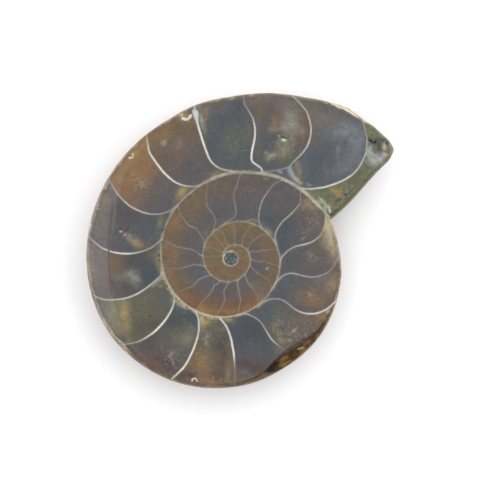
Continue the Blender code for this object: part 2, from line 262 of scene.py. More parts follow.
# Patches within a chamber, by colour: x, y, half length, half width, turn in degrees, strength.
PATCHES = {
    "dun": (
        (-14.5, -8.8, 1.6, 1.5, 0, 0.5), (-8.6, -14.8, 1.4, 1.0, 60, 0.5),
    ),
    "pale_slate": (
        (18.0, 20.5, 2.0, 1.1, 0, 0.9), (18.3, 19.9, 0.6, 0.3, 0, 0.5), (20.0, 18.0, 2.2, 1.4, 90, 0.85),
        (18.0, 14.6, 1.6, 0.8, 30, 0.6), (19.5, 14.0, 0.5, 0.2, 40, 0.5),
    ),
    "deep_slate": (
        (8.5, 13.7, 0.4, 0.25, -30, 0.7), (-14.0, -1.3, 2.0, 0.8, 0, 0.6),
        (-13.0, -3.0, 1.0, 0.8, 0, 0.5), (-8.0, -9.6, 1.5, 0.8, 0, 0.6), (3.0, -12.0, 2.0, 2.0, 0, 0.7),
        (6.3, -14.4, 1.2, 0.8, 90, 0.6), (9.5, 4.5, 1.5, 1.5, 0, 0.6),
    ),
    "mauve_slate": (
        (-11.0, 12.0, 1.5, 1.0, 0, 0.6), (10.5, -4.5, 1.5, 1.2, 0, 0.6), (11.0, -1.0, 2.0, 1.0, 0, 0.5),
        (9.5, 10.2, 1.2, 0.8, 0, 0.5), (-1.0, 8.0, 1.0, 1.0, 0, 0.6), (-4.5, 6.0, 1.0, 1.0, 0, 0.7),
        (-6.5, 3.2, 1.2, 0.8, 0, 0.7), (-5.5, -2.0, 1.0, 0.7, 0, 0.7),
    ),
    "plum": (
        (-13.0, -9.2, 0.25, 0.2, 0, 0.7), (-10.8, -16.8, 1.4, 0.9, 0, 0.8),
        (-13.0, -13.8, 1.8, 1.2, 0, 0.6), (-9.5, -17.8, 1.2, 0.6, 0, 0.7),
        (-1.6, -14.9, 1.8, 0.9, 90, 0.7), (-6.5, -18.6, 1.2, 0.5, 0, 0.8),
    ),
    "deep_mauve": (
        (9.5, 12.7, 0.5, 0.15, -25, 0.7), (-6.5, 23.4, 0.5, 0.45, 0, 0.8),
        (-19.3, 4.6, 3.0, 0.3, 86, 0.5), (-17.2, 6.8, 1.8, 1.3, 0, 0.5), (-17.5, -4.3, 2.0, 0.8, 0, 0.5),
        (-13.0, -10.5, 2.0, 0.8, 0, 0.4), (-15.0, -11.5, 1.2, 0.8, 0, 0.4), (4.6, -17.6, 1.8, 0.8, 15, 0.6),
        (-12.5, -16.2, 1.5, 0.8, -35, 0.6), (-1.2, -13.0, 1.0, 0.5, 90, 0.4),
        (-2.3, -18.8, 1.3, 0.7, 0, 0.7), (2.5, -17.0, 1.8, 0.9, 0, 0.7),
    ),
    "slate": (
        (-10.8, -6.1, 1.0, 0.8, 0, 0.6),
        (14.0, 24.1, 0.7, 0.4, 0, 0.6), (5.5, 18.5, 2.2, 1.2, 90, 0.85), (-9.7, 9.5, 1.0, 1.0, 0, 0.5),
        (-14.0, 5.5, 2.0, 1.0, 0, 0.6), (-12.7, 2.4, 0.8, 0.5, 0, 0.5), (8.0, -5.0, 1.0, 0.8, 90, 0.6),
        (2.5, 7.5, 1.2, 1.0, 0, 0.5), (5.0, -1.8, 0.8, 0.5, 0, 0.4),
    ),
    "pale_mauve": (
        (14.5, 22.5, 2.8, 1.3, -20, 0.95), (13.6, 21.0, 2.2, 0.9, 90, 0.8),
        (5.0, 25.3, 2.6, 0.9, 0, 0.85), (8.6, 24.7, 1.4, 0.9, 0, 0.7), (8.3, 24.0, 0.8, 0.6, 90, 0.5),
        (-1.5, 24.0, 1.5, 0.6, 15, 0.5), (-8.5, 18.0, 1.2, 0.7, 90, 0.75), (-21.5, 4.8, 1.5, 1.2, 0, 0.6),
        (-21.5, -2.0, 3.5, 1.5, 90, 0.7), (-18.2, -3.0, 1.4, 0.6, 0, 0.8),
        (-20.5, -8.5, 2.2, 1.4, 90, 0.8), (7.7, -14.7, 0.9, 0.5, -30, 0.6),
        (0.75, -19.5, 0.8, 0.18, 90, 0.6), (14.3, -4.6, 1.8, 0.9, 0, 0.4),
        (14.9, -3.2, 1.6, 0.35, 14, 0.7), (13.8, 5.5, 1.1, 0.7, 90, 0.8), (5.0, -5.8, 0.9, 0.8, 0, 0.4),
    ),
    "green_slate": (
        (-16.0, -0.3, 1.5, 0.6, 0, 0.6),
    ),
    "matrix_green": (
        (15.0, 10.4, 1.2, 0.7, -40, 0.6),
    ),
    "blue_slate": (
        (13.5, 16.0, 2.5, 1.2, 90, 0.6), (0.6, 24.0, 1.2, 0.6, 0, 0.6), (1.0, 15.5, 2.0, 0.8, 0, 0.6),
        (-8.3, -8.3, 1.2, 0.7, 0, 0.7), (0.9, -11.0, 1.0, 0.5, 90, 0.5), (6.3, -8.6, 1.5, 0.8, 0, 0.8),
        (5.6, -9.6, 0.8, 0.5, 0, 0.6), (9.0, -0.5, 0.9, 0.8, 0, 0.7), (8.2, 2.0, 1.2, 0.7, 90, 0.7),
        (6.3, 6.0, 1.3, 0.9, 0, 0.7),
    ),
    "orange": (
        (6.0, 26.0, 2.2, 0.25, 0, 0.6), (6.9, 21.8, 0.8, 0.5, 90, 0.75), (-11.7, 19.9, 2.0, 0.8, 35, 0.9),
        (-17.0, 12.8, 2.4, 1.3, 70, 0.95), (-14.8, 14.2, 1.6, 1.8, 0, 0.9),
        (-18.5, -1.0, 1.2, 0.9, 90, 0.75), (-11.0, -18.6, 1.2, 0.3, -30, 0.8),
        (-5.0, -15.8, 1.2, 1.0, 90, 0.55), (-4.2, -18.5, 1.2, 0.8, 90, 0.6),
        (-3.0, -20.0, 2.5, 0.4, 0, 0.8), (12.7, -6.3, 1.6, 1.0, 0, 0.6), (11.8, -5.4, 1.0, 0.4, 0, 0.4),
        (13.5, -7.0, 0.9, 0.6, 0, 0.6), (-8.9, 5.8, 1.6, 0.9, 65, 0.75), (-9.3, 0.6, 1.5, 1.1, 90, 0.6),
        (-9.8, -2.5, 1.0, 0.7, 90, 0.7), (-7.5, -6.2, 1.2, 0.6, -40, 0.65),
        (-9.2, -4.4, 1.0, 0.5, -62, 0.5), (-0.5, -8.4, 1.3, 0.4, 0, 0.9), (2.7, -8.0, 1.2, 0.4, 25, 0.75),
        (4.6, -6.8, 1.0, 0.6, 50, 0.6),
    ),
    "brown": (
        (13.3, 19.5, 1.5, 0.4, 90, 0.5), (20.2, 22.6, 0.9, 0.3, -30, 0.7),
        (4.2, 23.5, 1.2, 0.6, 100, 0.6), (8.3, 25.9, 0.5, 0.2, 0, 0.6), (10.6, 18.2, 0.7, 0.5, 0, 0.5),
        (-2.5, 24.8, 1.3, 0.3, 15, 0.8), (-9.0, 22.0, 1.5, 0.5, 35, 0.7), (-9.5, 20.5, 0.8, 1.2, 0, 0.6),
        (-18.0, -1.0, 1.2, 0.8, 30, 0.6), (-12.3, -0.4, 0.7, 0.4, 0, 0.6),
        (-15.9, -13.2, 0.6, 0.3, 0, 0.6), (-15.3, -15.9, 1.8, 0.7, -45, 0.95),
        (-3.3, -9.9, 0.8, 0.25, 0, 0.6), (-8.0, -19.5, 1.0, 0.3, 0, 0.6),
        (-0.3, -17.0, 0.8, 0.4, 90, 0.5), (1.9, -19.6, 1.8, 0.6, 8, 0.95),
        (4.2, -19.4, 1.2, 0.5, 25, 0.9), (3.0, -19.5, 2.0, 0.3, 8, 0.7), (5.4, -18.9, 1.0, 0.3, 20, 0.7), (12.0, -10.5, 2.0, 1.0, 0, 0.6), (13.5, -10.0, 1.2, 0.8, 0, 0.6),
        (14.2, -11.8, 0.5, 0.4, 0, 0.7), (17.15, -2.75, 0.5, 0.32, 90, 0.95),
        (16.0, -6.0, 0.9, 0.8, 0, 0.7), (12.4, 7.6, 1.2, 0.4, 0, 0.5), (7.3, 8.2, 0.9, 0.8, 0, 0.5),
        (2.8, 12.8, 1.5, 0.4, 0, 0.5), (-1.8, 11.4, 1.5, 1.0, 0, 0.8), (-6.5, 9.5, 1.2, 1.0, 0, 0.7),
        (-9.8, 4.0, 1.0, 0.8, 90, 0.6), (-8.3, -3.0, 1.0, 0.8, 0, 0.6), (6.8, -2.5, 1.0, 0.6, 90, 0.5),
        (6.8, 0.0, 0.7, 0.7, 0, 0.5), (4.6, 2.2, 1.2, 0.6, 0, 0.5),
    ),
    "mauve": (
        (17.0, 23.8, 2.5, 0.5, -25, 0.6), (6.5, 24.0, 1.5, 1.0, 0, 0.6), (7.0, 15.6, 1.0, 0.5, 0, 0.6),
        (10.6, 16.9, 0.5, 0.4, 40, 0.6), (-2.5, -11.8, 1.2, 0.8, 0, 0.5), (1.4, -18.0, 1.0, 0.6, 90, 0.5),
        (9.2, -10.9, 1.2, 0.8, 0, 0.5), (12.0, -8.2, 1.5, 0.3, 0, 0.5), (15.3, 0.8, 1.2, 1.0, 0, 0.4),
        (12.3, 6.3, 1.3, 1.2, 0, 0.5), (3.5, 11.5, 1.5, 1.0, 0, 0.5), (-7.5, 0.3, 1.0, 0.8, 0, 0.5),
        (-5.8, 0.3, 0.6, 0.5, 0, 0.6), (-4.7, -4.5, 0.9, 0.7, 0, 0.6), (-2.5, -5.5, 0.8, 0.6, 90, 0.5),
        (0.0, -5.5, 0.8, 0.7, 0, 0.6), (1.9, -4.5, 0.6, 0.6, 0, 0.5), (1.4, 3.3, 0.8, 0.6, 0, 0.7),
        (3.2, 1.5, 0.8, 0.5, 90, 0.7), (-0.6, 3.6, 0.6, 0.4, 0, 0.5), (3.4, 0.2, 0.5, 0.4, 0, 0.6),
    ),
    "olive": (
        (13.0, 24.8, 2.0, 0.6, -20, 0.6), (4.4, 19.0, 3.5, 0.3, 90, 0.5), (10.9, 23.4, 0.8, 0.6, 90, 0.6),
        (9.5, 16.0, 0.7, 0.5, 0, 0.5), (8.5, 15.3, 0.8, 0.4, 0, 0.5), (1.2, 25.6, 0.6, 0.3, 0, 0.6),
        (-3.4, 24.3, 0.8, 0.5, 90, 0.6), (3.9, 14.4, 0.6, 0.25, 0, 0.6), (-12.7, 0.6, 0.8, 0.5, 0, 0.7),
        (-17.2, -11.0, 1.4, 0.9, 0, 0.8), (-14.0, -6.8, 1.6, 0.8, 25, 0.6),
        (-16.8, -12.8, 0.9, 0.6, 0, 0.7), (-9.2, -12.6, 1.6, 1.1, 0, 0.5),
        (-4.7, -11.0, 1.0, 0.25, 90, 0.6), (-4.2, -13.0, 0.8, 0.5, 90, 0.5),
        (0.2, -10.2, 0.5, 0.4, 0, 0.6), (9.6, -14.0, 0.8, 0.4, 0, 0.6), (13.8, -9.1, 1.5, 0.25, 10, 0.5),
        (15.0, 2.6, 0.9, 0.6, 0, 0.5), (-5.3, 9.0, 0.8, 0.6, 90, 0.6),
    ),
    "rust": (
        (11.6, 21.5, 1.2, 0.7, 90, 0.7), (11.2, 19.0, 0.7, 0.5, 0, 0.6), (-8.5, 16.3, 1.5, 0.4, 90, 0.4),
        (-18.0, 11.5, 0.6, 0.6, 0, 0.6), (-14.0, 2.4, 0.7, 0.5, 0, 0.5),
        (-12.0, -17.0, 1.2, 0.4, -35, 0.7), (5.0, -18.7, 0.5, 0.35, 0, 0.8),
        (-3.8, -7.3, 0.8, 0.5, 0, 0.5), (-0.3, -7.3, 0.9, 0.5, 0, 0.4),
    ),
    "gold": (
        (-7.75, 22.95, 0.95, 0.6, -30, 1.0), (-8.0, 10.5, 1.0, 0.5, 45, 0.85),
        (-15.2, 2.5, 0.7, 0.4, -40, 0.75), (-17.3, -8.4, 1.3, 0.7, 90, 0.85),
        (-16.9, -10.6, 1.0, 0.45, 100, 0.5), (-4.2, -10.1, 0.8, 0.5, 0, 0.9),
        (-0.6, -9.9, 0.6, 0.3, 0, 0.8), (16.4, 4.3, 0.6, 0.35, 90, 0.6),
        (-4.0, -8.35, 0.9, 0.35, -20, 0.6),
    ),
    "deep_brown": (
        (17.8, 8.2, 1.0, 0.4, 40, 0.3), (16.9, 7.0, 0.6, 0.3, 45, 0.6), (-15.6, -0.2, 1.4, 0.8, 0, 0.35),
        (-7.8, -18.9, 0.8, 0.5, 0, 0.8), (-0.8, -20.2, 0.6, 0.3, 0, 0.7),
        (14.9, -10.9, 0.8, 0.4, 60, 0.7),
    ),
    "green_grey": (
        (21.3, 15.0, 1.0, 0.6, 90, 0.7), (2.6, 20.6, 1.6, 0.6, 90, 0.6), (0.5, 18.5, 1.8, 1.2, 90, 0.6),
        (0.8, 17.4, 0.8, 0.4, 0, 0.5), (-8.6, 9.2, 0.4, 0.3, 0, 0.5), (-7.2, -11.5, 1.5, 1.2, 0, 0.5),
        (7.8, -8.2, 0.8, 0.5, 0, 0.6), (9.0, -9.5, 1.5, 0.6, 0, 0.6), (-1.1, -4.1, 0.4, 0.2, 90, 0.8),
        (1.1, -4.2, 0.45, 0.22, 90, 0.8), (2.35, -3.2, 0.6, 0.25, -50, 0.8),
        (-2.8, -3.8, 0.45, 0.22, 60, 0.7), (-3.9, -2.1, 0.45, 0.22, 0, 0.7),
        (-4.9, -0.8, 0.4, 0.22, 0, 0.7), (4.0, -3.8, 0.8, 0.6, 0, 0.25),
    ),
    "pale_olive": (
        (10.5, 25.8, 1.0, 0.3, -35, 0.6), (7.3, 20.6, 0.7, 0.3, 20, 0.6), (8.9, 23.0, 0.6, 0.5, 90, 0.5),
        (8.7, 17.8, 1.1, 0.9, 90, 0.85), (5.9, 15.7, 0.3, 0.3, 0, 0.5), (-11.45, 0.1, 1.4, 0.4, 90, 0.9),
        (-19.2, -8.6, 1.6, 0.7, 90, 0.5), (-19.8, -11.0, 1.3, 1.2, 0, 0.5),
        (-17.0, -7.3, 0.8, 0.3, 0, 0.6), (-18.9, -8.0, 0.9, 0.8, 90, 0.5),
        (-6.8, -12.9, 1.1, 0.8, 90, 0.6), (-0.4, -18.5, 0.9, 0.3, 90, 0.6),
        (15.2, 3.8, 0.9, 0.5, 90, 0.7), (12.3, 9.3, 0.7, 0.25, 0, 0.6), (5.9, 4.4, 0.9, 0.35, -45, 0.8),
        (4.0, 5.9, 0.5, 0.3, 0, 0.6),
    ),
    "ochre": (
        (17.1, 10.6, 0.6, 0.5, 0, 0.65),
    ),
    "matrix_pale": (
        (24.2, 19.4, 0.5, 0.25, -40, 0.6), (24.3, 16.3, 1.0, 0.35, 20, 0.8),
        (23.2, 16.3, 1.3, 1.1, 0, 1.0), (23.3, 16.3, 0.7, 0.6, 0, 0.6), (22.4, 17.0, 0.9, 0.4, 90, 0.7), (23.8, 15.4, 0.7, 0.4, 45, 0.5),
        (14.6, 8.8, 0.8, 0.35, -45, 0.6), (-4.7, 22.2, 1.3, 0.22, 100, 0.7),
        (10.1, -11.5, 0.4, 0.2, 30, 0.7),
    ),
    "matrix_olive": (
        (22.6, 20.9, 0.9, 0.5, -40, 0.5), (22.9, 19.9, 0.7, 0.4, -20, 0.5),
        (20.9, 22.2, 0.6, 0.3, -35, 0.4),
    ),
    "amber": (
        (-7.9, 23.1, 0.5, 0.3, -30, 0.7), (-15.2, 17.4, 2.2, 0.8, 50, 0.95),
        (-14.0, 19.2, 0.8, 0.4, 50, 0.8), (-16.12, 16.52, 0.45, 0.34, 35, 0.95),
        (-14.6, 2.0, 0.6, 0.3, 0, 0.6), (-9.2, -19.0, 0.5, 0.3, 0, 0.8), (-4.7, -16.8, 1.0, 0.8, 0, 0.3),
        (14.5, -9.5, 0.8, 0.4, 0, 0.5), (15.2, -10.0, 0.5, 0.3, 60, 0.7), (16.8, -4.4, 0.7, 0.4, 90, 0.5),
        (-4.2, -8.2, 1.3, 0.55, -20, 0.9),
    ),
    "tan": (
        (25.4, 18.2, 0.5, 0.4, 90, 0.7), (25.6, 17.3, 0.4, 0.3, 0, 0.7), (16.2, 8.2, 0.5, 0.2, 10, 0.5),
        (10.7, 14.2, 1.2, 0.4, 100, 0.7), (6.3, 20.8, 0.5, 0.4, 0, 0.5), (11.5, 20.3, 0.5, 0.5, 0, 0.6),
        (9.8, 19.0, 1.6, 0.3, 90, 0.6), (-3.9, 23.5, 0.8, 0.4, 100, 0.6), (-5.2, 24.3, 0.5, 0.3, 20, 0.7),
        (-15.3, 12.6, 0.6, 0.15, 45, 0.5), (-14.3, 11.6, 0.8, 0.12, -45, 0.5),
        (-20.2, 8.8, 1.0, 2.0, -15, 0.4), (-16.1, 3.0, 0.8, 0.4, -50, 0.75),
        (-14.0, -16.8, 0.5, 0.25, 0, 0.7), (8.1, -13.2, 0.5, 0.5, 0, 0.6),
        (16.3, -4.2, 1.1, 0.8, 90, 0.75), (16.2, -7.8, 0.4, 0.2, 60, 0.6), (16.6, 0.8, 1.2, 0.5, 90, 0.6),
        (17.2, -0.2, 0.8, 0.3, 90, 0.7), (12.4, 8.4, 1.0, 0.6, 0, 0.75),
    ),
    "yellow_olive": (
        (16.2, 10.9, 0.5, 0.4, 0, 0.5), (8.2, 16.6, 0.6, 0.5, 0, 0.6), (-4.35, 21.8, 1.6, 0.25, 100, 0.6),
        (-2.5, 13.6, 0.8, 0.4, 25, 0.6), (-11.3, 5.9, 1.1, 0.35, 75, 0.6),
        (-11.3, -4.4, 0.5, 0.25, 0, 0.7), (7.4, -10.6, 0.5, 0.3, 0, 0.5),
        (6.8, -11.2, 0.8, 0.25, 100, 0.45), (7.6, -12.0, 0.8, 0.3, 110, 0.55),
    ),
    "blue_white": (
        (9.4, 14.0, 0.8, 0.35, 110, 0.85), (10.0, 13.1, 0.6, 0.3, 125, 0.8),
        (7.8, 13.8, 0.6, 0.2, -20, 0.6), (-11.5, -3.1, 0.7, 0.4, 40, 0.8),
        (23.5, 16.1, 1.0, 0.7, 20, 0.7), (22.5, 17.5, 0.6, 0.35, 100, 0.6), (15.0, 7.9, 0.5, 0.2, -50, 0.7),
    ),
    "matrix_dark": (
        (23.6, 18.9, 0.5, 0.3, 0, 0.8), (24.0, 18.4, 0.8, 0.6, 0, 0.75), (23.5, 17.8, 0.8, 0.7, 60, 1.0),
        (24.6, 18.9, 0.6, 0.3, -30, 0.8), (24.9, 17.0, 0.5, 0.15, -15, 0.8),
        (25.2, 15.6, 0.6, 0.25, 50, 0.7), (19.0, 9.6, 1.0, 0.4, 45, 0.4),
    ),
    "cream": (
        (24.5, 17.9, 0.6, 0.3, 80, 0.85), (14.6, 9.3, 0.9, 0.12, -50, 0.8),
        (15.2, 8.4, 0.7, 0.1, -55, 0.7), (14.2, 8.9, 0.7, 0.1, -50, 0.5),
        (10.6, 12.5, 0.6, 0.3, 130, 0.8), (11.2, 12.0, 0.35, 0.3, 0, 0.6), (7.7, 19.6, 0.3, 0.15, 0, 0.8),
        (6.4, 16.3, 0.75, 0.4, 25, 0.6), (0.1, 25.6, 0.7, 0.25, 15, 0.7),
        (-10.8, 18.4, 0.5, 0.3, 60, 0.5), (-17.6, 4.25, 0.3, 0.15, 0, 0.9),
        (-16.9, 3.75, 0.3, 0.12, 0, 0.9), (-17.7, -13.3, 0.5, 0.2, -40, 0.9),
        (-4.7, -9.9, 0.9, 0.45, 90, 0.85), (15.6, -8.5, 0.5, 0.35, 40, 0.8),
        (16.2, 3.0, 2.2, 0.9, 105, 0.7), (15.6, 5.4, 1.6, 0.7, 105, 0.95),
    ),
    "pale": (
        (17.1, 17.3, 0.7, 0.25, 90, 0.5), (12.3, 11.8, 0.3, 0.3, 0, 0.5), (8.6, 20.9, 0.7, 0.5, 90, 0.6),
        (9.7, 22.2, 1.0, 0.7, 90, 0.9), (10.0, 21.2, 1.2, 0.9, 90, 0.6), (5.6, 16.9, 0.35, 0.35, 0, 0.5),
        (2.3, 17.3, 0.5, 0.12, 0, 0.5), (-16.1, 3.7, 0.25, 0.15, 0, 0.9),
        (-22.5, -1.0, 3.0, 0.4, 90, 0.5), (-15.3, -3.1, 0.9, 0.7, 110, 0.75),
        (-16.5, -2.5, 0.8, 0.35, 10, 0.6), (-12.3, -4.2, 0.6, 0.3, 40, 0.6),
        (-9.6, -15.3, 0.6, 0.25, 60, 0.5), (-9.3, -16.6, 0.7, 0.2, 100, 0.45),
        (-8.4, -7.2, 0.8, 0.35, -40, 0.8), (-9.2, -6.9, 0.6, 0.4, -50, 0.7),
        (-7.6, -7.8, 0.6, 0.25, -35, 0.6), (-3.8, -12.2, 0.5, 0.2, 90, 0.5),
        (-3.9, -13.6, 0.5, 0.3, 90, 0.5), (9.3, -13.1, 0.4, 0.3, 0, 0.6),
        (12.0, -12.2, 0.4, 0.2, 90, 0.5), (12.6, -5.9, 0.35, 0.3, 0, 0.5),
        (12.6, 0.6, 0.6, 0.15, -60, 0.45), (11.6, 3.2, 0.5, 0.2, 50, 0.5), (3.0, 6.1, 0.9, 0.12, 10, 0.6),
    ),
    "shell_cream": (
        (15.75, 7.8, 0.6, 0.15, 100, 0.9), (21.4, 21.9, 0.8, 0.2, -35, 0.6),
        (-4.6, 25.0, 1.0, 0.14, 14, 0.8), (-7.9, 22.95, 0.3, 0.2, 0, 0.8),
        (15.75, 5.3, 1.3, 0.5, 105, 0.25),
    ),
    # Near-black marks. Those lying on the cavities in VUGS are painted shade inside them; the others are dark marks.
    "near_black": (
        (22.35, 18.75, 0.6, 0.24, -40, 0.95), (22.95, 18.5, 0.6, 0.2, 15, 0.9),
        (25.3, 17.2, 0.5, 0.2, 60, 0.5), (24.9, 18.3, 0.25, 0.25, 0, 0.9), (17.2, 9.2, 0.9, 0.1, 35, 0.8),
        (18.3, 10.15, 0.3, 0.15, 10, 0.9), (16.3, 6.7, 0.4, 0.25, 0, 0.6), (19.6, 11.1, 1.8, 0.09, 42, 0.8),
    ),
    "white": (
        (8.5, 18.9, 0.45, 0.2, 0, 0.9),
    ),
}
# The burnt crescent at the lower right: its upper boundary, then its own patches.
CRESCENT = (
    (4.6, -18.8), (5.3, -17.9), (6.2, -17.0), (7.0, -16.2), (7.8, -15.6), (8.7, -15.1),
    (9.6, -14.7), (10.5, -14.1), (11.5, -13.4), (12.6, -12.6), (13.4, -11.9), (14.4, -11.2),
    (15.2, -13.0), (12.0, -16.5), (8.0, -19.5), (5.0, -21.0),
)
CRESCENT_PATCHES = (
    (6.4, -17.7, 1.1, 0.6, 45, "near_black", 1.0), (7.2, -16.8, 0.9, 0.5, 50, "near_black", 0.95),
    (4.9, -18.6, 0.6, 0.4, 50, "rust", 0.8),
    (7.6, -16.2, 0.7, 0.4, 0, "burnt", 0.8), (8.6, -16.0, 0.9, 0.4, 30, "burnt_tan", 0.4),
    (8.3, -17.0, 0.8, 0.4, 20, "burnt_tan", 0.3), (8.4, -17.1, 0.25, 0.15, 20, "burnt_tan", 0.6), (9.0, -16.7, 0.7, 0.2, 30, "burnt_tan", 0.6),
    (9.6, -15.5, 0.8, 0.5, 0, "near_black", 0.5), (10.4, -16.2, 0.6, 0.2, 0, "burnt", 0.7),
    (10.8, -14.2, 0.9, 0.3, 25, "near_black", 0.6), (11.2, -14.4, 0.6, 0.12, 15, "cream", 0.8),
    (11.5, -14.8, 0.8, 0.3, 35, "burnt_tan", 0.4), (12.2, -13.5, 0.8, 0.3, 40, "rust", 0.8),
    (12.9, -12.8, 0.5, 0.4, 90, "burnt", 0.7), (13.3, -13.4, 0.5, 0.3, 0, "burnt", 0.5),
    (14.0, -12.6, 0.5, 0.5, 50, "burnt_tan", 0.3),
)
# Where the calcite is crystalline, partly its own grain and partly painted glints: the material turns some facets
# cream as if catching the light and others deep brown as if unlit. x, y, half length, half width, turn in degrees,
# strength.
SPARKLES = (
    (9.3, 21.2, 2.4, 1.5, 95, 1.0), (8.4, 17.9, 1.5, 1.2, 90, 0.9), (6.3, 16.3, 1.1, 0.7, 25, 0.8),
    (10.9, 19.0, 2.0, 0.9, 90, 0.6), (0.6, 18.2, 2.4, 1.5, 80, 0.5), (18.6, 20.3, 1.8, 1.2, 0, 0.35),
    (17.2, 17.0, 1.2, 0.5, 90, 0.5), (-4.3, 22.6, 1.8, 0.6, 100, 0.6), (-10.7, 18.6, 0.8, 0.6, 60, 1.0),
    (-8.6, 17.6, 1.4, 0.8, 90, 0.5), (-15.0, 12.2, 2.0, 1.4, -40, 1.0), (-12.0, 10.5, 1.6, 0.8, -40, 0.4),
    (-8.1, 10.4, 0.9, 0.6, 45, 0.7), (-15.6, 2.8, 1.4, 0.6, -45, 0.9), (-21.0, 3.5, 2.5, 1.2, 90, 0.4),
    (-16.4, -2.6, 1.4, 0.7, 20, 0.5), (-11.6, 0.3, 2.2, 0.5, 90, 0.7), (-17.2, -9.0, 2.6, 2.0, 60, 0.6),
    (-19.8, -11.2, 1.8, 1.0, -60, 0.8), (-14.5, -9.5, 1.6, 1.0, 0, 0.4), (-9.5, -15.8, 2.4, 1.3, -50, 0.8),
    (-7.4, -11.8, 1.6, 1.2, 60, 0.7), (-8.2, -7.6, 1.6, 0.5, -45, 0.7), (-4.0, -12.9, 2.4, 1.1, 90, 1.0),
    (-4.6, -16.3, 1.8, 1.5, 90, 0.7), (-1.6, -11.5, 1.4, 0.9, 60, 0.6), (-2.5, -19.6, 2.6, 0.9, 0, 0.7),
    (1.2, -18.8, 1.4, 1.0, 0, 0.5), (9.3, -12.2, 2.4, 1.8, -45, 1.0), (7.4, -10.3, 1.6, 1.0, -40, 0.7),
    (12.5, -10.5, 2.6, 1.6, 20, 0.6), (13.0, -6.2, 2.0, 1.1, 0, 0.6), (12.8, 0.4, 1.1, 0.8, 0, 0.6),
    (16.2, 3.6, 2.6, 1.1, 105, 0.9), (12.2, 5.2, 2.4, 1.2, 60, 0.8), (12.3, 8.6, 1.1, 0.9, 0, 0.7),
    (9.3, 10.6, 1.5, 1.0, 0, 0.4), (-5.8, 9.2, 1.4, 1.0, 90, 0.5), (2.4, 10.6, 1.6, 1.0, 0, 0.3),
    (24.0, 17.2, 2.4, 1.8, 45, 1.0), (17.0, 9.6, 3.0, 1.4, 45, 0.8),
)
# Thin pale arcs, the edges of chips and bubbles: x, y, radius, first and last angle, half width,
# colour, strength.
ARCS = (
    (25.45, 0.8, 45.0, 170.5, 188.5, 0.13, "deep_brown", 0.85),
    (-5.85, -19.6, 0.38, -25, 205, 0.06, "milk", 1.0), (-16.1, 16.45, 0.4, -130, 50, 0.07, "shell_cream", 0.95),
    (-7.3, 23.1, 0.85, -130, 0, 0.15, "milk", 0.95), (12.5, 11.55, 0.3, 0, 360, 0.04, "pale", 0.7),
    (5.6, 12.95, 0.32, 0, 360, 0.04, "pale", 0.6), (10.5, 11.3, 0.3, 0, 360, 0.04, "pale", 0.45),
    (-21.3, 8.2, 0.3, 40, 330, 0.05, "cream", 0.6), (5.9, -1.75, 0.22, 20, 220, 0.03, "milk", 0.4),
    (17.1, -2.75, 0.42, 60, 300, 0.05, "tan", 0.5), (2.3, -18.9, 0.75, 0, 130, 0.04, "pale", 0.35),
)
# Tufts of whitish fibres: x, y, radius, strength.
TUFTS = (
    (-14.2, 11.8, 1.5, 0.75), (-10.8, 18.4, 0.7, 0.8), (12.7, -6.1, 0.9, 0.7), (12.7, 0.5, 0.8, 0.5),
    (-9.3, -15.6, 1.2, 0.6), (-3.9, -13.0, 1.3, 0.5), (-15.6, 3.0, 0.7, 0.4), (12.4, 4.2, 0.9, 0.4),
)
# Open cavities in the face: x, y, half length, half width, turn in degrees, depth. Their deeper parts are painted
# near black as shade.
VUGS = (
    (-16.8, 4.35, 0.42, 0.18, 10.0, 0.35), (-17.65, 4.68, 0.3, 0.12, 0.0, 0.25),
    (-16.4, 4.65, 0.2, 0.12, 0.0, 0.2), (8.4, 19.32, 0.78, 0.13, -16.0, 0.35),
    (22.35, 18.75, 0.5, 0.2, -40.0, 0.45), (22.95, 18.5, 0.55, 0.17, 15.0, 0.4),
    (24.95, 18.35, 0.18, 0.16, 0.0, 0.3),
    (18.3, 10.15, 0.3, 0.14, 10.0, 0.3), (17.3, 9.2, 0.9, 0.09, 35.0, 0.2),
)
# Dark beads beside the walls: x, y, half length, half width, turn in degrees.
BEADS = (
    (-11.5, 0.6, 0.4, 0.15, 90.0), (-11.55, -0.3, 0.3, 0.15, 90.0), (-10.85, 4.6, 0.25, 0.14, 80.0),
    (-10.65, -3.7, 0.22, 0.14, -70.0), (-10.2, -4.5, 0.25, 0.14, -65.0), (-7.1, -7.85, 0.25, 0.12, -45.0),
    (-11.05, 2.65, 0.2, 0.11, 80.0), (-10.5, -3.0, 0.14, 0.1, -70.0), (-4.7, -9.15, 0.16, 0.09, -20.0),
    (-4.0, -9.4, 0.15, 0.09, -20.0), (-3.4, -9.42, 0.14, 0.09, -15.0), (-8.9, -6.35, 0.16, 0.1, -50.0),
    (-6.4, -8.35, 0.16, 0.1, -40.0), (-8.3, -6.9, 0.2, 0.12, -50.0), (-2.6, -9.5, 0.12, 0.08, -10.0),
)


def curve_through(rows):
    """A function that runs smoothly through (place, value) rows and is flat beyond their ends."""
    xs, ys = np.array(rows, float).T
    spans = np.diff(xs)
    slopes = np.diff(ys) / spans
    before, after = slopes[:-1], slopes[1:]
    same_way = before * after > 0.0
    tangents = np.concatenate(([slopes[0]], np.zeros(len(xs) - 2), [slopes[-1]]))
    harmonic = 2.0 * before * after / np.where(same_way, before + after, 1.0)
    tangents[1:-1] = np.where(same_way, harmonic, 0.0)

    def at(x):
        x = np.clip(x, xs[0], xs[-1])
        i = np.clip(np.searchsorted(xs, x, side="right") - 1, 0, len(spans) - 1)
        t = (x - xs[i]) / spans[i]
        start = (1.0 + 2.0 * t) * (1.0 - t) ** 2 * ys[i] + t * (1.0 - t) ** 2 * spans[i] * tangents[i]
        end = t * t * (3.0 - 2.0 * t) * ys[i + 1] + t * t * (t - 1.0) * spans[i] * tangents[i + 1]
        return start + end

    return at


def smoothstep(low, high, x):
    t = np.clip((x - low) / (high - low), 0.0, 1.0)
    return t * t * (3.0 - 2.0 * t)


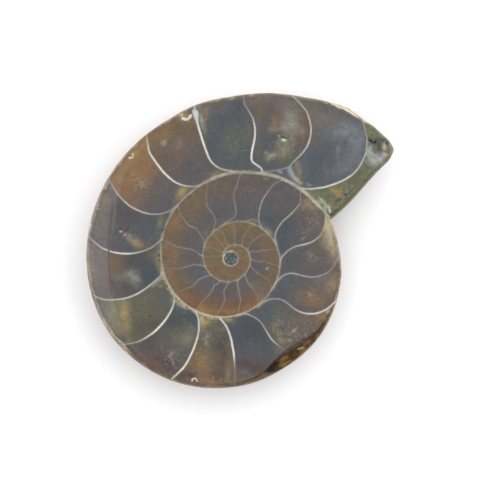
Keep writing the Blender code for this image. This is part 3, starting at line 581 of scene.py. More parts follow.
wall = curve_through(WALL)
lip_angle = curve_through(LIP_LINE)
thickness_at = curve_through(THICKNESS)
swell_at = curve_through(SWELL)
edge_width = curve_through(EDGE_WIDTH)
edge_fall = curve_through(EDGE_FALL)
worn_back = curve_through(WORN_BACK)
wall_look = curve_through(WALL_LOOK)
wall_half = curve_through(WALL_HALF)

# ---------------------------------------------------------------- noise

HASH = np.random.RandomState(5).rand(4096)


def value_noise(x, y, seed):
    """Smooth noise from 0 to 1 with one cell a unit."""
    xi, yi = np.floor(x).astype(np.int64), np.floor(y).astype(np.int64)
    fx, fy = x - xi, y - yi
    fx, fy = fx * fx * (3.0 - 2.0 * fx), fy * fy * (3.0 - 2.0 * fy)

    def corner(dx, dy):
        key = (xi + dx) * 73856093 ^ (yi + dy) * 19349663 ^ seed * 83492791
        return HASH[key & 4095]

    low = corner(0, 0) * (1.0 - fx) + corner(1, 0) * fx
    high = corner(0, 1) * (1.0 - fx) + corner(1, 1) * fx
    return low * (1.0 - fy) + high * fy


def clouds(x, y, size, seed, octaves=4):
    """Layered noise from -1 to 1, its largest features about size across."""
    total, weight, scale = 0.0, 0.0, 1.0 / size
    for octave in range(octaves):
        share = 0.55**octave
        layer = value_noise(x * scale + 17.3 * octave, y * scale - 9.1 * octave, seed + octave)
        total = total + share * layer
        weight += share
        scale *= 2.03
    return 2.0 * total / weight - 1.0


def ridges(x, y, size, seed):
    """Thin bright lines, 1 on a line and 0 away from it."""
    return np.clip(1.0 - 6.0 * np.abs(clouds(x, y, size, seed, 3)), 0.0, 1.0)


# ---------------------------------------------------------------- coil measures


def coil_place(x, y):
    """s, v and radius of points on the face."""
    radius = np.hypot(x, y)
    s = np.degrees(np.arctan2(y, x)) % 360.0
    for _ in range(4):
        s = np.where(radius < wall(s + 360.0), s + 360.0, s)
    inner, outer = wall(s + 360.0), wall(s)
    v = (radius - inner) / np.maximum(outer - inner, 0.2)
    return s, v, radius


def coil_point(s, v):
    """x and y of a place in coil measures."""
    radius = wall(s + 360.0) + v * (wall(s) - wall(s + 360.0))
    turn = np.radians(s)
    return np.stack((radius * np.cos(turn), radius * np.sin(turn)), -1)


def smooth_path(points, pitch):
    """Evenly spaced points on a smooth curve through the given ones."""
    p = np.array(points, float)
    p = np.vstack((2.0 * p[0] - p[1], p, 2.0 * p[-1] - p[-2]))
    t = np.linspace(0.0, 1.0, 12, endpoint=False)[:, None]
    runs = []
    for a, b, c, d in zip(p, p[1:], p[2:], p[3:]):
        bend = (2.0 * a - 5.0 * b + 4.0 * c - d) * t**2 + (3.0 * (b - c) + d - a) * t**3
        runs.append(0.5 * (2.0 * b + (c - a) * t + bend))
    curve = np.vstack(runs + [p[-2:-1]])
    run = np.concatenate(([0.0], np.cumsum(np.hypot(*np.diff(curve, axis=0).T))))
    at = np.linspace(0.0, run[-1], int(run[-1] / pitch) + 2)
    return np.stack((np.interp(at, run, curve[:, 0]), np.interp(at, run, curve[:, 1])), 1)


def beside(path, offsets):
    """Copies of a path moved sideways by offsets, one for each point or the same for all."""
    tangent = np.gradient(path, axis=0)
    tangent /= np.hypot(*tangent.T)[:, None]
    across = np.stack((-tangent[:, 1], tangent[:, 0]), 1)
    return path + across * np.broadcast_to(offsets, (len(path),))[:, None]


def carried_on(path, pitch, length):
    """A path with a straight piece added at each end."""
    steps = np.arange(pitch, length, pitch)[:, None]
    start, end = path[0] - path[3], path[-1] - path[-4]
    before = path[0] + steps[::-1] * start / np.hypot(*start)
    return np.vstack((before, path, path[-1] + steps * end / np.hypot(*end)))


def partition(points, glow):
    """A partition: its path, s and brightness along the path, and its s against v."""
    path = carried_on(smooth_path(points, 0.05), 0.05, 0.7)
    x, y = path.T
    frill = 0.16 * smoothstep(7.5, 5.5, np.hypot(x, y)) * clouds(x, y, 0.5, 33, 2)
    path = beside(path, frill)
    x, y = path.T
    angle = np.degrees(np.unwrap(np.arctan2(y, x)))
    middle = len(path) // 2
    s = angle + coil_place(x[middle], y[middle])[0] - angle[middle]
    v = (np.hypot(x, y) - wall(s + 360.0)) / (wall(s) - wall(s + 360.0))
    order = np.argsort(v)
    return path, s, v, curve_through(list(zip(GLOW_V, glow)))(v), (v[order], s[order])


def all_partitions():
    found = [partition(points, glow) for points, glow in SEPTA]
    for middle in np.arange(EARLY_FIRST, EARLY_LAST, EARLY_STEP):
        v, step = np.array(EARLY_SHAPE).T
        found.append(partition(coil_point(middle + step, v), EARLY_GLOW))
    return found


PARTITIONS = all_partitions()


def chamber_numbers(s, v):
    """How many partitions lie between each place and the lip."""
    return sum((s > np.interp(v, *s_against_v)).astype(int) for *_, s_against_v in PARTITIONS)


def nearest_partition(x, y, s):
    """Distance to the nearest partition of the same whorl, and its brightness there."""
    reach = 1.2
    nearest, glow_there = np.full(x.shape, 9.0), np.zeros(x.shape)
    for path, path_s, _, glow, _ in PARTITIONS:
        (x0, y0), (x1, y1) = path.min(0) - reach, path.max(0) + reach
        inside = np.flatnonzero((x > x0) & (x < x1) & (y > y0) & (y < y1))
        for part in np.array_split(inside, len(inside) // 3000 + 1):
            away = np.hypot(x[part, None] - path[:, 0], y[part, None] - path[:, 1])
            closest = away.argmin(1)
            gap = away[np.arange(len(part)), closest]
            better = (gap < nearest[part]) & (np.abs(path_s[closest] - s[part]) < 40.0)
            nearest[part[better]] = gap[better]
            glow_there[part[better]] = glow[closest[better]]
    return nearest, glow_there


def core_half(glow):
    return CORE_FAINT + (CORE_BRIGHT - CORE_FAINT) * glow**1.3


# ---------------------------------------------------------------- outline and sections


def lip_hold(back):
    away = np.minimum(back, 360.0 - back) / LIP_SWAY_SPAN
    return np.where(away < 1.0, np.cos(0.5 * math.pi * np.minimum(away, 1.0)) ** 2, 0.0)


def section_angle(back, radius, depth):
    """Angle of a section's point, as the CAD model has it."""
    hold = lip_hold(back)
    rounding = np.minimum(1.0, depth / LIP_ROUND_DEPTH) * np.minimum(1.0, radius / 10.0)
    turn = np.degrees(hold * LIP_LEAN * rounding / np.maximum(radius, PIT_RADIUS))
    return LIP_MIDDLE + back + hold * (lip_angle(radius) - LIP_MIDDLE) - turn


def outside_radius(back):
    radius = wall(LIP_MIDDLE + back)
    for _ in range(40):
        angle = np.clip(section_angle(back, radius, 0.0), WALL[0][0], OUTLINE_END)
        radius = 0.5 * (radius + wall(angle))
    return radius


BACKS = np.linspace(0.0, 360.0, COLUMNS + 1)
OUTSIDE = outside_radius(BACKS)
RIM_ANGLE = section_angle(BACKS, OUTSIDE, 0.0)


def rim_radii():
    """Radius of the face's rim in each column: the outline, worn and chipped."""
    along = np.radians(RIM_ANGLE) * OUTSIDE
    wear = 0.14 * clouds(along, along * 0.0, 2.4, 31) + 0.12 * clouds(along, along * 0.0, 0.8, 32) - 0.07
    for angle, half, depth in CHIPS:
        notch = np.clip(1.0 - np.abs(RIM_ANGLE - angle) / half, 0.0, 1.0)
        wear = wear - depth * notch**0.6
    return OUTSIDE - worn_back(RIM_ANGLE) - 0.3 * swell_at(BACKS) + wear


RIM_RADIUS = rim_radii()
RIM_X = RIM_RADIUS * np.cos(np.radians(RIM_ANGLE))
RIM_Y = RIM_RADIUS * np.sin(np.radians(RIM_ANGLE))


def lip_edge():
    """Points along the lip's broken edge on the face, from its foot to its tip, both included."""
    t = np.linspace(0.0, 1.0, LIP_COLUMNS + 1)
    radius = RIM_RADIUS[-1] + t * (RIM_RADIUS[0] - RIM_RADIUS[-1])
    angle = np.radians(section_angle(0.0, radius, 0.0))
    x, y = radius * np.cos(angle), radius * np.sin(angle)
    tx, ty = np.gradient(x), np.gradient(y)
    size = np.hypot(tx, ty)
    run = 15.0 * t
    free = np.sin(math.pi * t) ** 0.5
    worn = free * (0.1 + 0.1 * clouds(run, 0.0 * t, 2.2, 41) + 0.08 * clouds(run, 0.0 * t, 0.6, 42))
    return x - worn * ty / size, y + worn * tx / size


LIP_X, LIP_Y = lip_edge()
OUTLINE_X = np.concatenate((RIM_X[:-1], LIP_X[:-1]))
OUTLINE_Y = np.concatenate((RIM_Y[:-1], LIP_Y[:-1]))


def inside_loop(x, y, loop_x, loop_y):
    """Whether points lie inside a closed loop, by counting crossings."""
    inside = np.zeros(x.shape, bool)
    for x0, y0, x1, y1 in zip(loop_x, loop_y, np.roll(loop_x, -1), np.roll(loop_y, -1)):
        if y0 != y1:
            crosses = (y0 > y) != (y1 > y)
            inside ^= crosses & (x < x0 + (y - y0) * (x1 - x0) / (y1 - y0))
    return inside


def loop_distance(x, y, loop_x, loop_y):
    """Distance from points to a closed loop."""
    nearest = np.full(x.shape, 99.0)
    for x0, y0, x1, y1 in zip(loop_x, loop_y, np.roll(loop_x, -1), np.roll(loop_y, -1)):
        dx, dy = x1 - x0, y1 - y0
        t = np.clip(((x - x0) * dx + (y - y0) * dy) / (dx * dx + dy * dy + 1e-12), 0.0, 1.0)
        nearest = np.minimum(nearest, np.hypot(x - x0 - t * dx, y - y0 - t * dy))
    return nearest


def outline_distance(x, y):
    """Distance to the face's outline, exact near it and 5 mm at the most."""
    angle = np.degrees(np.arctan2(y, x)) % 360.0
    near = (np.hypot(x, y) > wall(np.where(angle < 34.2, angle + 360.0, angle)) - 5.0) | (angle < 34.2)
    distance = np.full(x.shape, 5.0)
    found = loop_distance(x[near], y[near], OUTLINE_X, OUTLINE_Y)
    distance[near] = np.minimum(found, 5.0)
    return distance


# ---------------------------------------------------------------- the face's mesh


def oval(x, y, patch, raggedness=0.0):
    """How far out points lie in an oval: 0 at its middle, 1 at its edge."""
    px, py, length, width, turn = patch[:5]
    c, sn = math.cos(math.radians(turn)), math.sin(math.radians(turn))
    dx, dy = x - px, y - py
    return np.hypot((dx * c + dy * sn) / length, (-dx * sn + dy * c) / width) + raggedness


def vug_depth(x, y):
    """How far the cavities go down."""
    ragged = 0.35 * clouds(x, y, 0.5, 61, 3)
    depth = np.zeros(x.shape)
    for vug in VUGS:
        depth = np.maximum(depth, vug[5] * (1.0 - smoothstep(0.5, 1.0, oval(x, y, vug, ragged))))
    return depth


def line_points():
    """Points that run along every partition and every wall, so that their edges are crisp."""
    runs = []
    for path, _, v, glow, _ in PARTITIONS:
        shown = (v > 0.0) & (v < 1.0)
        path, glow = path[shown][::3], glow[shown][::3]
        for side in (-1.0, 1.0):
            runs.append(beside(path, side * core_half(glow)))
            runs.append(beside(path, side * (core_half(glow) + LINE_SOFT)))
    s = [OUTLINE_END]
    while s[-1] < 1255.0:
        s.append(s[-1] + math.degrees(0.16 / float(wall(s[-1]))))
    s = np.array(s)
    spiral = coil_point(s, np.ones(len(s)))
    for side in (-1.0, 1.0):
        runs.append(beside(spiral, side * wall_half(s)))
        runs.append(beside(spiral, side * (wall_half(s) + WALL_SOFT)))
    return np.vstack(runs).T


def lattice(pitch, low, high, random):
    """Jittered triangular lattice over the face between two radii from the coil's centre."""
    x, y = np.meshgrid(np.arange(-27.0, 28.0, pitch), np.arange(-23.0, 28.0, pitch * math.sqrt(3.0)))
    x = np.concatenate((x.ravel(), x.ravel() + 0.5 * pitch))
    y = np.concatenate((y.ravel(), y.ravel() + 0.5 * math.sqrt(3.0) * pitch))
    x = x + random.uniform(-0.12, 0.12, x.shape) * pitch
    y = y + random.uniform(-0.12, 0.12, y.shape) * pitch
    radius = np.hypot(x, y)
    keep = (radius >= low) & (radius < high)
    return x[keep], y[keep]


def face_points():
    random = np.random.RandomState(11)
    coarse = lattice(LATTICE_OUTER, LATTICE_CHANGE, 40.0, random)
    fine = lattice(LATTICE_INNER, 0.0, LATTICE_CHANGE, random)
    x, y = np.concatenate((coarse, fine), 1)
    s, _, radius = coil_place(x, y)
    near, glow = nearest_partition(x, y, s)
    clear = near > core_half(glow) + LINE_SOFT + 0.05
    for turn in (0.0, 360.0):
        off = np.abs(radius - wall(s + turn))
        clear &= (off > wall_half(s + turn) + WALL_SOFT + 0.05) | (s + turn < OUTLINE_END)
    points = np.concatenate(((x[clear], y[clear]), line_points()), 1)
    x, y = points[:, inside_loop(*points, OUTLINE_X, OUTLINE_Y)]
    keep = outline_distance(x, y) > 0.07
    return x[keep], y[keep]


def face_mesh():
    """Triangulates the face. Returns x, y and the triangles."""
    x, y = face_points()
    x, y = np.concatenate((OUTLINE_X, x)), np.concatenate((OUTLINE_Y, y))
    count = len(OUTLINE_X)
    edges = [(i, (i + 1) % count) for i in range(count)]
    points = [Vector(p) for p in zip(x.tolist(), y.tolist())]
    found = delaunay_2d_cdt(points, edges, [], 1, 1e-7)
    place = np.array([p[:] for p in found[0]])
    return place[:, 0], place[:, 1], found[2]


def outline_angle(x, y):
    """Angle about the coil's centre, counted past 360 degrees at the foot of the lip."""
    angle = np.degrees(np.arctan2(y, x)) % 360.0
    return np.where(angle < 25.0, angle + 360.0, angle)


def face_fall(x, y, gap):
    """How far the face falls away towards its rim, where the polish rounded it off."""
    angle = outline_angle(x, y)
    t = np.clip(1.0 - gap / edge_width(angle), 0.0, 1.0)
    return edge_fall(angle) * (0.75 * t + 0.25 * t * t)


# ---------------------------------------------------------------- the face's colours


def linear(rgb):
    c = np.array(rgb, float) / 255.0
    return np.where(c <= 0.04045, c / 12.92, ((c + 0.055) / 1.055) ** 2.4)


def under_polish(name, veil=VEIL):
    """The stone's own colour, from how a palette colour looks with the polish's veil over it."""
    return np.maximum(linear(PALETTE[name]) - veil, 0.008) / GAIN


def mixed(base, colour, amount):
    return base + (colour - base) * np.clip(amount, 0.0, 1.0)[:, None]


def chamber_colours(chamber, v):
    """Each chamber's own colour, which changes from its inner wall to its outer wall."""
    names = list(CHAMBERS) + [EARLY_COLOURS] * (len(PARTITIONS) + 1 - len(CHAMBERS))
    low = np.array([under_polish(pair[0]) for pair in names])
    high = np.array([under_polish(pair[1]) for pair in names])
    return low[chamber] + (high[chamber] - low[chamber]) * smoothstep(0.15, 0.9, v)[:, None]


def with_patches(colour, x, y, chamber):
    """Adds the stains and clear spots, each within its own chamber: large ones soft and torn, small
    ones crisp."""
    bend_x = 0.45 * clouds(x, y, 2.0, 74) + 0.25 * clouds(x, y, 0.7, 75)
    bend_y = 0.45 * clouds(x, y, 2.0, 76) + 0.25 * clouds(x, y, 0.7, 77)
    torn = 1.0 + 0.7 * clouds(x, y, 0.8, 78)
    for name, patch in ((name, patch) for name, patches in PATCHES.items() for patch in patches):
        px, py = np.array([patch[0]]), np.array([patch[1]])
        home = chamber_numbers(*coil_place(px, py)[:2])[0]
        size = math.sqrt(patch[2] * patch[3])
        soft = min(1.0, max(0.0, (size - 0.25) / 0.4))
        reach = 2.4 * max(patch[2], patch[3]) + 0.5
        near = np.flatnonzero((np.abs(x - px) < reach) & (np.abs(y - py) < reach) & (chamber == home))
        bend = min(1.0, size)
        out = oval(x[near] + bend * bend_x[near], y[near] + bend * bend_y[near], patch)
        crisp = 1.0 - smoothstep(0.6, 1.25, out)
        amount = patch[5] * ((1.0 - soft) * crisp + soft * np.exp(-0.6 * out**2))
        colour[near] = mixed(colour[near], under_polish(name), amount * (1.0 + soft * (torn[near] - 1.0)))
    return colour


def with_calcite(colour, x, y, v, radius):
    """Adds the cloudy grain of the calcite, its feathers and its specks."""
    cloud, fine = clouds(x, y, 1.7, 81), clouds(x, y, 0.5, 82)
    tone = clouds(x, y, 3.0, 83)
    colour = colour * (1.0 + 0.18 * cloud + 0.18 * fine)[:, None]
    colour = colour * np.stack((1.0 + 0.05 * tone, 1.0 + 0.0 * tone, 1.0 - 0.06 * tone), 1)
    feather = ridges(x + 0.6 * cloud, y, 1.6, 84) * smoothstep(0.1, 0.5, clouds(x, y, 3.5, 85))
    colour = mixed(colour, under_polish("pale"), 0.16 * feather)
    speck = value_noise(x / 0.3, y / 0.3, 93)
    colour = mixed(colour, under_polish("pale"), 0.4 * smoothstep(0.93, 1.0, speck))
    colour = mixed(colour, under_polish("near_black"), 0.35 * smoothstep(0.05, 0.0, speck))
    lining = np.exp(-np.maximum(v, 0.0) / 0.03) * (0.16 + 0.2 * clouds(x, y, 1.2, 86)) * (radius > 2.0)
    return mixed(colour, under_polish("pale"), lining)


def with_arcs(colour, x, y, ragged):
    """Adds the thin pale arcs and the tufts of fibres."""
    for px, py, radius, first, last, half, name, strength in ARCS:
        turn = (np.degrees(np.arctan2(y - py, x - px)) - first) % 360.0
        off = np.abs(np.hypot(x - px, y - py) - radius + 0.3 * min(radius, 1.0) * ragged)
        amount = strength * (1.0 - smoothstep(half, half + 0.07, off)) * (turn <= last - first)
        colour = mixed(colour, under_polish(name), amount)
    for px, py, radius, strength in TUFTS:
        out = np.hypot(x - px, y - py) / radius
        turn = np.arctan2(y - py, x - px) + 0.5 * ragged
        fibre = smoothstep(0.5, 0.85, value_noise(turn * 5.0, out * 1.5, 98))
        fade = 1.0 - smoothstep(0.25, 1.0, out)
        colour = mixed(colour, under_polish("pale"), strength * fibre * fade)
    return colour


def with_crescent(colour, x, y, ragged):
    """Adds the burnt crescent at the lower right, where the face falls out of the veil. Returns the
    colour and how far inside the crescent each point lies."""
    loop_x, loop_y = np.array(CRESCENT).T
    sign = np.where(inside_loop(x, y, loop_x, loop_y), 1.0, -1.0)
    depth = sign * loop_distance(x, y, loop_x, loop_y) + 0.14 * clouds(x, y, 0.7, 79)
    inside = smoothstep(-0.05, 0.12, depth)
    burnt = under_polish("burnt", 0.0) * (1.0 + 0.9 * clouds(x, y, 0.6, 95))[:, None]
    for patch in CRESCENT_PATCHES:
        out = oval(x, y, patch, ragged)
        burnt = mixed(burnt, under_polish(patch[5], 0.0), patch[6] * (1.0 - smoothstep(0.6, 1.3, out)))
    edge = np.exp(-(((depth - 0.2) / 0.16) ** 2)) * (0.6 + 0.8 * clouds(x, y, 1.0, 133))
    burnt = mixed(burnt, under_polish("near_black", 0.0), 0.55 * edge)
    return mixed(colour, burnt, inside), inside


def with_rim(colour, x, y, gap):
    """Adds the outer shell, seen edge on at the rim, and the dark edge of the lip."""
    angle = outline_angle(x, y)
    left = smoothstep(140.0, 158.0, angle) * (1.0 - smoothstep(222.0, 240.0, angle))
    lower_right = smoothstep(272.0, 284.0, angle) * (1.0 - smoothstep(316.0, 325.0, angle))
    flakes = smoothstep(0.05, 0.45, clouds(x, y, 1.5, 89))
    layered = smoothstep(200.0, 208.0, angle) * (1.0 - smoothstep(219.0, 224.0, angle))
    worn = smoothstep(221.0, 226.0, angle) * (1.0 - smoothstep(255.0, 265.0, angle))
    width = 0.08 + 0.12 * left + 0.14 * flakes + 0.1 * layered
    strength = (0.3 + 0.25 * left + 0.45 * flakes + 0.4 * layered) * (1.0 - 0.9 * lower_right) * (1.0 - 0.8 * worn)
    strength = strength * (1.0 + 0.4 * clouds(x, y, 0.5, 94)) * (angle > 34.0)
    colour = mixed(colour, under_polish("shell_tan"), strength * (1.0 - smoothstep(width, width + 0.15, gap)))
    leaf = np.sin(24.0 * gap + 2.5 * clouds(x, y, 2.5, 97, 2))
    colour = mixed(colour, under_polish("shell_cream"), 0.8 * layered * smoothstep(0.2, 0.9, leaf) * (gap < 0.45))
    colour = mixed(colour, under_polish("brown"), 0.7 * layered * smoothstep(0.2, 0.9, -leaf) * (gap < 0.45))
    under = np.exp(-(((gap - width - 0.3) / 0.16) ** 2)) * (angle > 34.0)
    colour = mixed(colour, under_polish("deep_brown"), 0.35 * under * (1.0 - lower_right))
    lip = (angle < 33.8) & (angle > 22.5)
    strip = lip * (1.0 - smoothstep(0.5, 0.62, gap))
    colour = mixed(colour, under_polish("pale_olive"), 0.55 * strip)
    crack = np.exp(-(((gap - 0.62) / 0.1) ** 2)) * (0.35 + 0.9 * clouds(x, y, 1.6, 96))
    crack = crack * (1.0 - 0.8 * smoothstep(23.5, 26.0, np.hypot(x, y)))
    return mixed(colour, under_polish("near_black"), 0.9 * lip * crack)


def with_lines(colour, x, y, s, v, radius, near, glow):
    """Adds the partitions and walls. Returns the colour and how much of it is shell."""
    grain = clouds(x, y, 0.7, 90)
    gap_in = np.abs(radius - wall(s + 360.0))
    gap_out = np.where(s > OUTLINE_END, np.abs(radius - wall(s)), 9.0)
    to_wall = np.minimum(gap_in, gap_out)
    crust = smoothstep(540.0, 552.0, s + 360.0) * (1.0 - smoothstep(618.0, 628.0, s + 360.0))
    crust = crust * (1.0 - smoothstep(0.2, 0.7, gap_in + 0.3 * grain)) * (radius > wall(s + 360.0))
    crust = crust * (0.75 + 0.6 * clouds(x, y, 0.4, 99))
    colour = mixed(colour, under_polish("cream"), crust)
    body = glow * (1.0 - smoothstep(0.06, 0.34, near)) * (1.0 + 0.4 * grain)
    colour = mixed(colour, under_polish("pale"), 0.4 * body)
    reach = np.where(s < OUTLINE_END, 0.85, 0.5)
    fillet = (0.3 + 0.6 * glow) * np.clip(1.0 - (near + to_wall) / reach, 0.0, 1.0) ** 0.7
    colour = mixed(colour, under_polish("pale"), fillet * (glow > 0.07) * (1.0 + 0.5 * grain))
    half = core_half(glow)
    line = glow**1.5 * (1.0 - smoothstep(half, half + LINE_SOFT, near)) * (1.0 + 0.2 * grain)
    top = 1.0 - smoothstep(23.5, 24.1, y + 0.3 * grain)
    flare = smoothstep(20.3, 23.0, y) * top * np.exp(-(((x + 5.5) / 1.2) ** 2))
    spread = 0.06 + 0.32 * smoothstep(21.0, 23.8, y)
    line = np.maximum(line, flare * (1.0 - smoothstep(spread, spread + 0.2, near)))
    milk = mixed(np.repeat(under_polish("milk")[None], len(x), 0), under_polish("blue_milk"), flare)
    colour = mixed(colour, milk, line)
    shell = np.clip(line, 0.0, 1.0)
    for at, gap in ((s + 360.0, gap_in), (s, gap_out)):
        twin = smoothstep(385.0, 392.0, at) * (1.0 - smoothstep(462.0, 475.0, at))
        half = wall_half(at) * (1.0 - 0.45 * twin)
        gap = np.abs(gap - 0.14 * twin)
        band = (1.0 - smoothstep(half, half + WALL_SOFT, gap)) * (at < 1262.0) * (at > OUTLINE_END)
        band = np.clip(band * wall_look(at) ** 1.3 * (0.9 + 0.7 * grain), 0.0, 1.0)
        colour = mixed(colour, under_polish("wall_cream"), band)
        shell = np.maximum(shell, band)
    return colour, shell


def face_colours(x, y, gap):
    """Colour and traits (shell, crystalline calcite that gets painted glints, dullness) of each of the face's points.
    """
    s, v, radius = coil_place(x, y)
    v = np.clip(v, 0.0, 1.0)
    chamber = chamber_numbers(s, v)
    near, glow = nearest_partition(x, y, s)
    ragged = 0.3 * clouds(x, y, 1.0, 73)
    colour = chamber_colours(chamber, v + 0.1 * clouds(x, y, 2.6, 72))
    colour = with_patches(colour, x, y, chamber)
    colour = with_calcite(colour, x, y, v, radius)
    sediment = (chamber == 0) & (s < 60.0)
    grains = np.where(sediment, 0.1 + 0.6 * clouds(x, y, 0.45, 87, 3), 0.0)
    earliest = s > 872.0
    grains = np.where(earliest, 0.2 * clouds(x, y, 0.4, 132, 2), grains)
    blush = 0.35 * earliest * smoothstep(0.0, 0.5, clouds(x, y, 0.6, 131))
    colour = mixed(colour, under_polish("rust"), blush)
    colour = colour * (1.0 + grains)[:, None]
    from_core = np.hypot(x + 0.05, y + 0.05)
    core = 1.0 - smoothstep(0.95, 1.1, from_core)
    colour = mixed(colour, under_polish("core_green"), core)
    colour = mixed(colour, under_polish("blue_white"), 0.6 * core * smoothstep(0.0, 0.6, clouds(x, y, 0.25, 92, 2)))
    upper_left = 0.5 + 0.5 * np.tanh(2.0 * (y - x))
    ring = np.exp(-(((from_core - 1.2) / 0.09) ** 2)) * (0.4 + 0.5 * upper_left)
    colour = mixed(colour, under_polish("milk"), 0.75 * ring)
    colour = with_rim(colour, x, y, gap)
    colour, shell = with_lines(colour, x, y, s, v, radius, near, glow)
    colour = with_arcs(colour, x, y, ragged)
    for bead in BEADS:
        out = oval(x, y, bead, 0.5 * ragged)
        colour = mixed(colour, under_polish("near_black"), 0.85 * (1.0 - smoothstep(0.6, 1.2, out)))
    colour, inside_crescent = with_crescent(colour, x, y, ragged)
    depth = vug_depth(x, y)
    # Painted shade: the cavities turn near black once they are more than a tenth of a millimetre deep, and fully so
    # by a quarter.
    colour = mixed(colour, np.array([0.012, 0.010, 0.007]), smoothstep(0.1, 0.25, depth))
    # Where the calcite is crystalline; the material paints glints there.
    sparkle = np.zeros(len(x))
    for region in SPARKLES:
        out = oval(x, y, region, ragged)
        sparkle = np.maximum(sparkle, region[5] * np.exp(-0.8 * out**2))
    traits = np.stack((np.maximum(shell, inside_crescent), sparkle, smoothstep(0.05, 0.2, depth)), 1)
    return np.clip(colour, 0.002, 0.9), traits


# ---------------------------------------------------------------- mesh and material helpers


def to_world(x, y, z):
    """World points in metres of places counted from the coil's centre."""
    return np.stack(((x + CENTRE[0]) * MM, (y + CENTRE[1]) * MM, z * MM), 1)


def new_mesh_object(name, points, faces, material):
    mesh = bpy.data.meshes.new(name)
    mesh.from_pydata(points.tolist(), [], faces)
    mesh.shade_smooth()
    mesh.materials.append(material)
    made = bpy.data.objects.new(name, mesh)
    bpy.context.scene.collection.objects.link(made)
    return made


def paint(made, name, values):
    """Stores a colour for each vertex under an attribute's name."""
    layer = made.data.color_attributes.new(name, "FLOAT_COLOR", "POINT")
    rgba = np.ones((len(values), 4), np.float32)
    rgba[:, :3] = values
    layer.data.foreach_set("color", rgba.ravel())


def new_material(name):
    material = bpy.data.materials.new(name)
    material.use_nodes = True
    tree = material.node_tree
    return material, tree, tree.nodes["Principled BSDF"]


def node(tree, kind, **values):
    made = tree.nodes.new(kind)
    for key, value in values.items():
        setattr(made, key, value)
    return made


def noise_node(tree, coordinates, size_mm, detail=4.0, roughness=0.55, distortion=0.0):
    made = tree.nodes.new("ShaderNodeTexNoise")
    made.inputs["Scale"].default_value = 1.0 / (size_mm * MM)
    made.inputs["Detail"].default_value = detail
    made.inputs["Roughness"].default_value = roughness
    made.inputs["Distortion"].default_value = distortion
    tree.links.new(coordinates, made.inputs["Vector"])
    return made


def ranged(tree, value, low_in, high_in, low_out, high_out):
    made = tree.nodes.new("ShaderNodeMapRange")
    made.inputs["From Min"].default_value = low_in
    made.inputs["From Max"].default_value = high_in
    made.inputs["To Min"].default_value = low_out
    made.inputs["To Max"].default_value = high_out
    tree.links.new(value, made.inputs["Value"])
    return made.outputs["Result"]


def maths(tree, operation, first, second):
    made = node(tree, "ShaderNodeMath", operation=operation)
    for socket, value in zip(made.inputs, (first, second)):
        if isinstance(value, (int, float)):
            socket.default_value = value
        else:
            tree.links.new(value, socket)
    return made.outputs[0]


def scaled_colour(tree, colour, amount):
    """Colour times a grey amount."""
    made = node(tree, "ShaderNodeVectorMath", operation="SCALE")
    tree.links.new(colour, made.inputs[0])
    tree.links.new(amount, made.inputs["Scale"])
    return made.outputs[0]


def mixed_colour(tree, amount, first, second):
    """first where amount is 0 and the fixed colour second where it is 1."""
    made = node(tree, "ShaderNodeMix", data_type="RGBA")
    tree.links.new(amount, made.inputs["Factor"])
    tree.links.new(first, made.inputs["A"])
    made.inputs["B"].default_value = (*second, 1.0)
    return made.outputs["Result"]


def attribute(tree, name):
    return node(tree, "ShaderNodeAttribute", attribute_name=name)


def channels(tree, colour):
    made = tree.nodes.new("ShaderNodeSeparateColor")
    tree.links.new(colour, made.inputs[0])
    return made.outputs


def face_material():
    """Polished calcite: its painted colour broken up by fine crystal, with painted glints where it is crystalline,
    under a clear gloss.
    """
    material, tree, shader = new_material("polished_calcite")
    place = tree.nodes.new("ShaderNodeTexCoord").outputs["Object"]
    tint = attribute(tree, "tint").outputs["Color"]
    shell, sparkle, dull = channels(tree, attribute(tree, "traits").outputs["Color"])[:3]
    crystal = noise_node(tree, place, 0.5, 5.0, 0.65, 0.6).outputs["Fac"]
    crumb = noise_node(tree, place, 0.18, 3.0, 0.6).outputs["Fac"]
    shade = ranged(tree, crystal, 0.3, 0.7, 0.8, 1.2)
    grain = ranged(tree, crumb, 0.3, 0.7, 0.88, 1.12)
    coloured = scaled_colour(tree, tint, maths(tree, "MULTIPLY", shade, grain))
    facet = noise_node(tree, place, 0.42, 3.0, 0.7, 1.2).outputs["Fac"]
    # Painted glints over the calcite's own grain: facets of the noise turn cream as if lit, and others deep brown as
    # if unlit.
    bright = maths(tree, "MULTIPLY", ranged(tree, facet, 0.52, 0.68, 0.0, 0.55), sparkle)
    gap = maths(tree, "MULTIPLY", ranged(tree, facet, 0.44, 0.34, 0.0, 0.35), sparkle)
    lit = mixed_colour(tree, bright, coloured, under_polish("cream"))
    darkened = mixed_colour(tree, gap, lit, under_polish("deep_brown"))
    tree.links.new(darkened, shader.inputs["Base Color"])
    smear = noise_node(tree, place, 3.0, 3.0).outputs["Fac"]
    gloss = ranged(tree, smear, 0.3, 0.7, 0.07, 0.12)
    rough = maths(tree, "ADD", gloss, maths(tree, "MULTIPLY", sparkle, 0.06))
    rough = maths(tree, "ADD", rough, maths(tree, "MULTIPLY", dull, 0.5))
    tree.links.new(rough, shader.inputs["Roughness"])
    shader.inputs["IOR"].default_value = 1.6
    bump = tree.nodes.new("ShaderNodeBump")
    bump.inputs["Distance"].default_value = 0.02 * MM
    tree.links.new(maths(tree, "MULTIPLY", dull, 0.4), bump.inputs["Strength"])
    tree.links.new(crumb, bump.inputs["Height"])
    tree.links.new(bump.outputs["Normal"], shader.inputs["Normal"])
    return material


def make_face():
    x, y, triangles = face_mesh()
    gap = outline_distance(x, y)
    colour, traits = face_colours(x, y, gap)
    cavity = vug_depth(x, y) * smoothstep(0.0, 0.15, gap)
    z = FACE_HEIGHT - face_fall(x, y, gap) - cavity
    made = new_mesh_object("polished_face", to_world(x, y, z), triangles, face_material())
    paint(made, "tint", colour)
    paint(made, "traits", traits)
    return made


# ---------------------------------------------------------------- the natural side


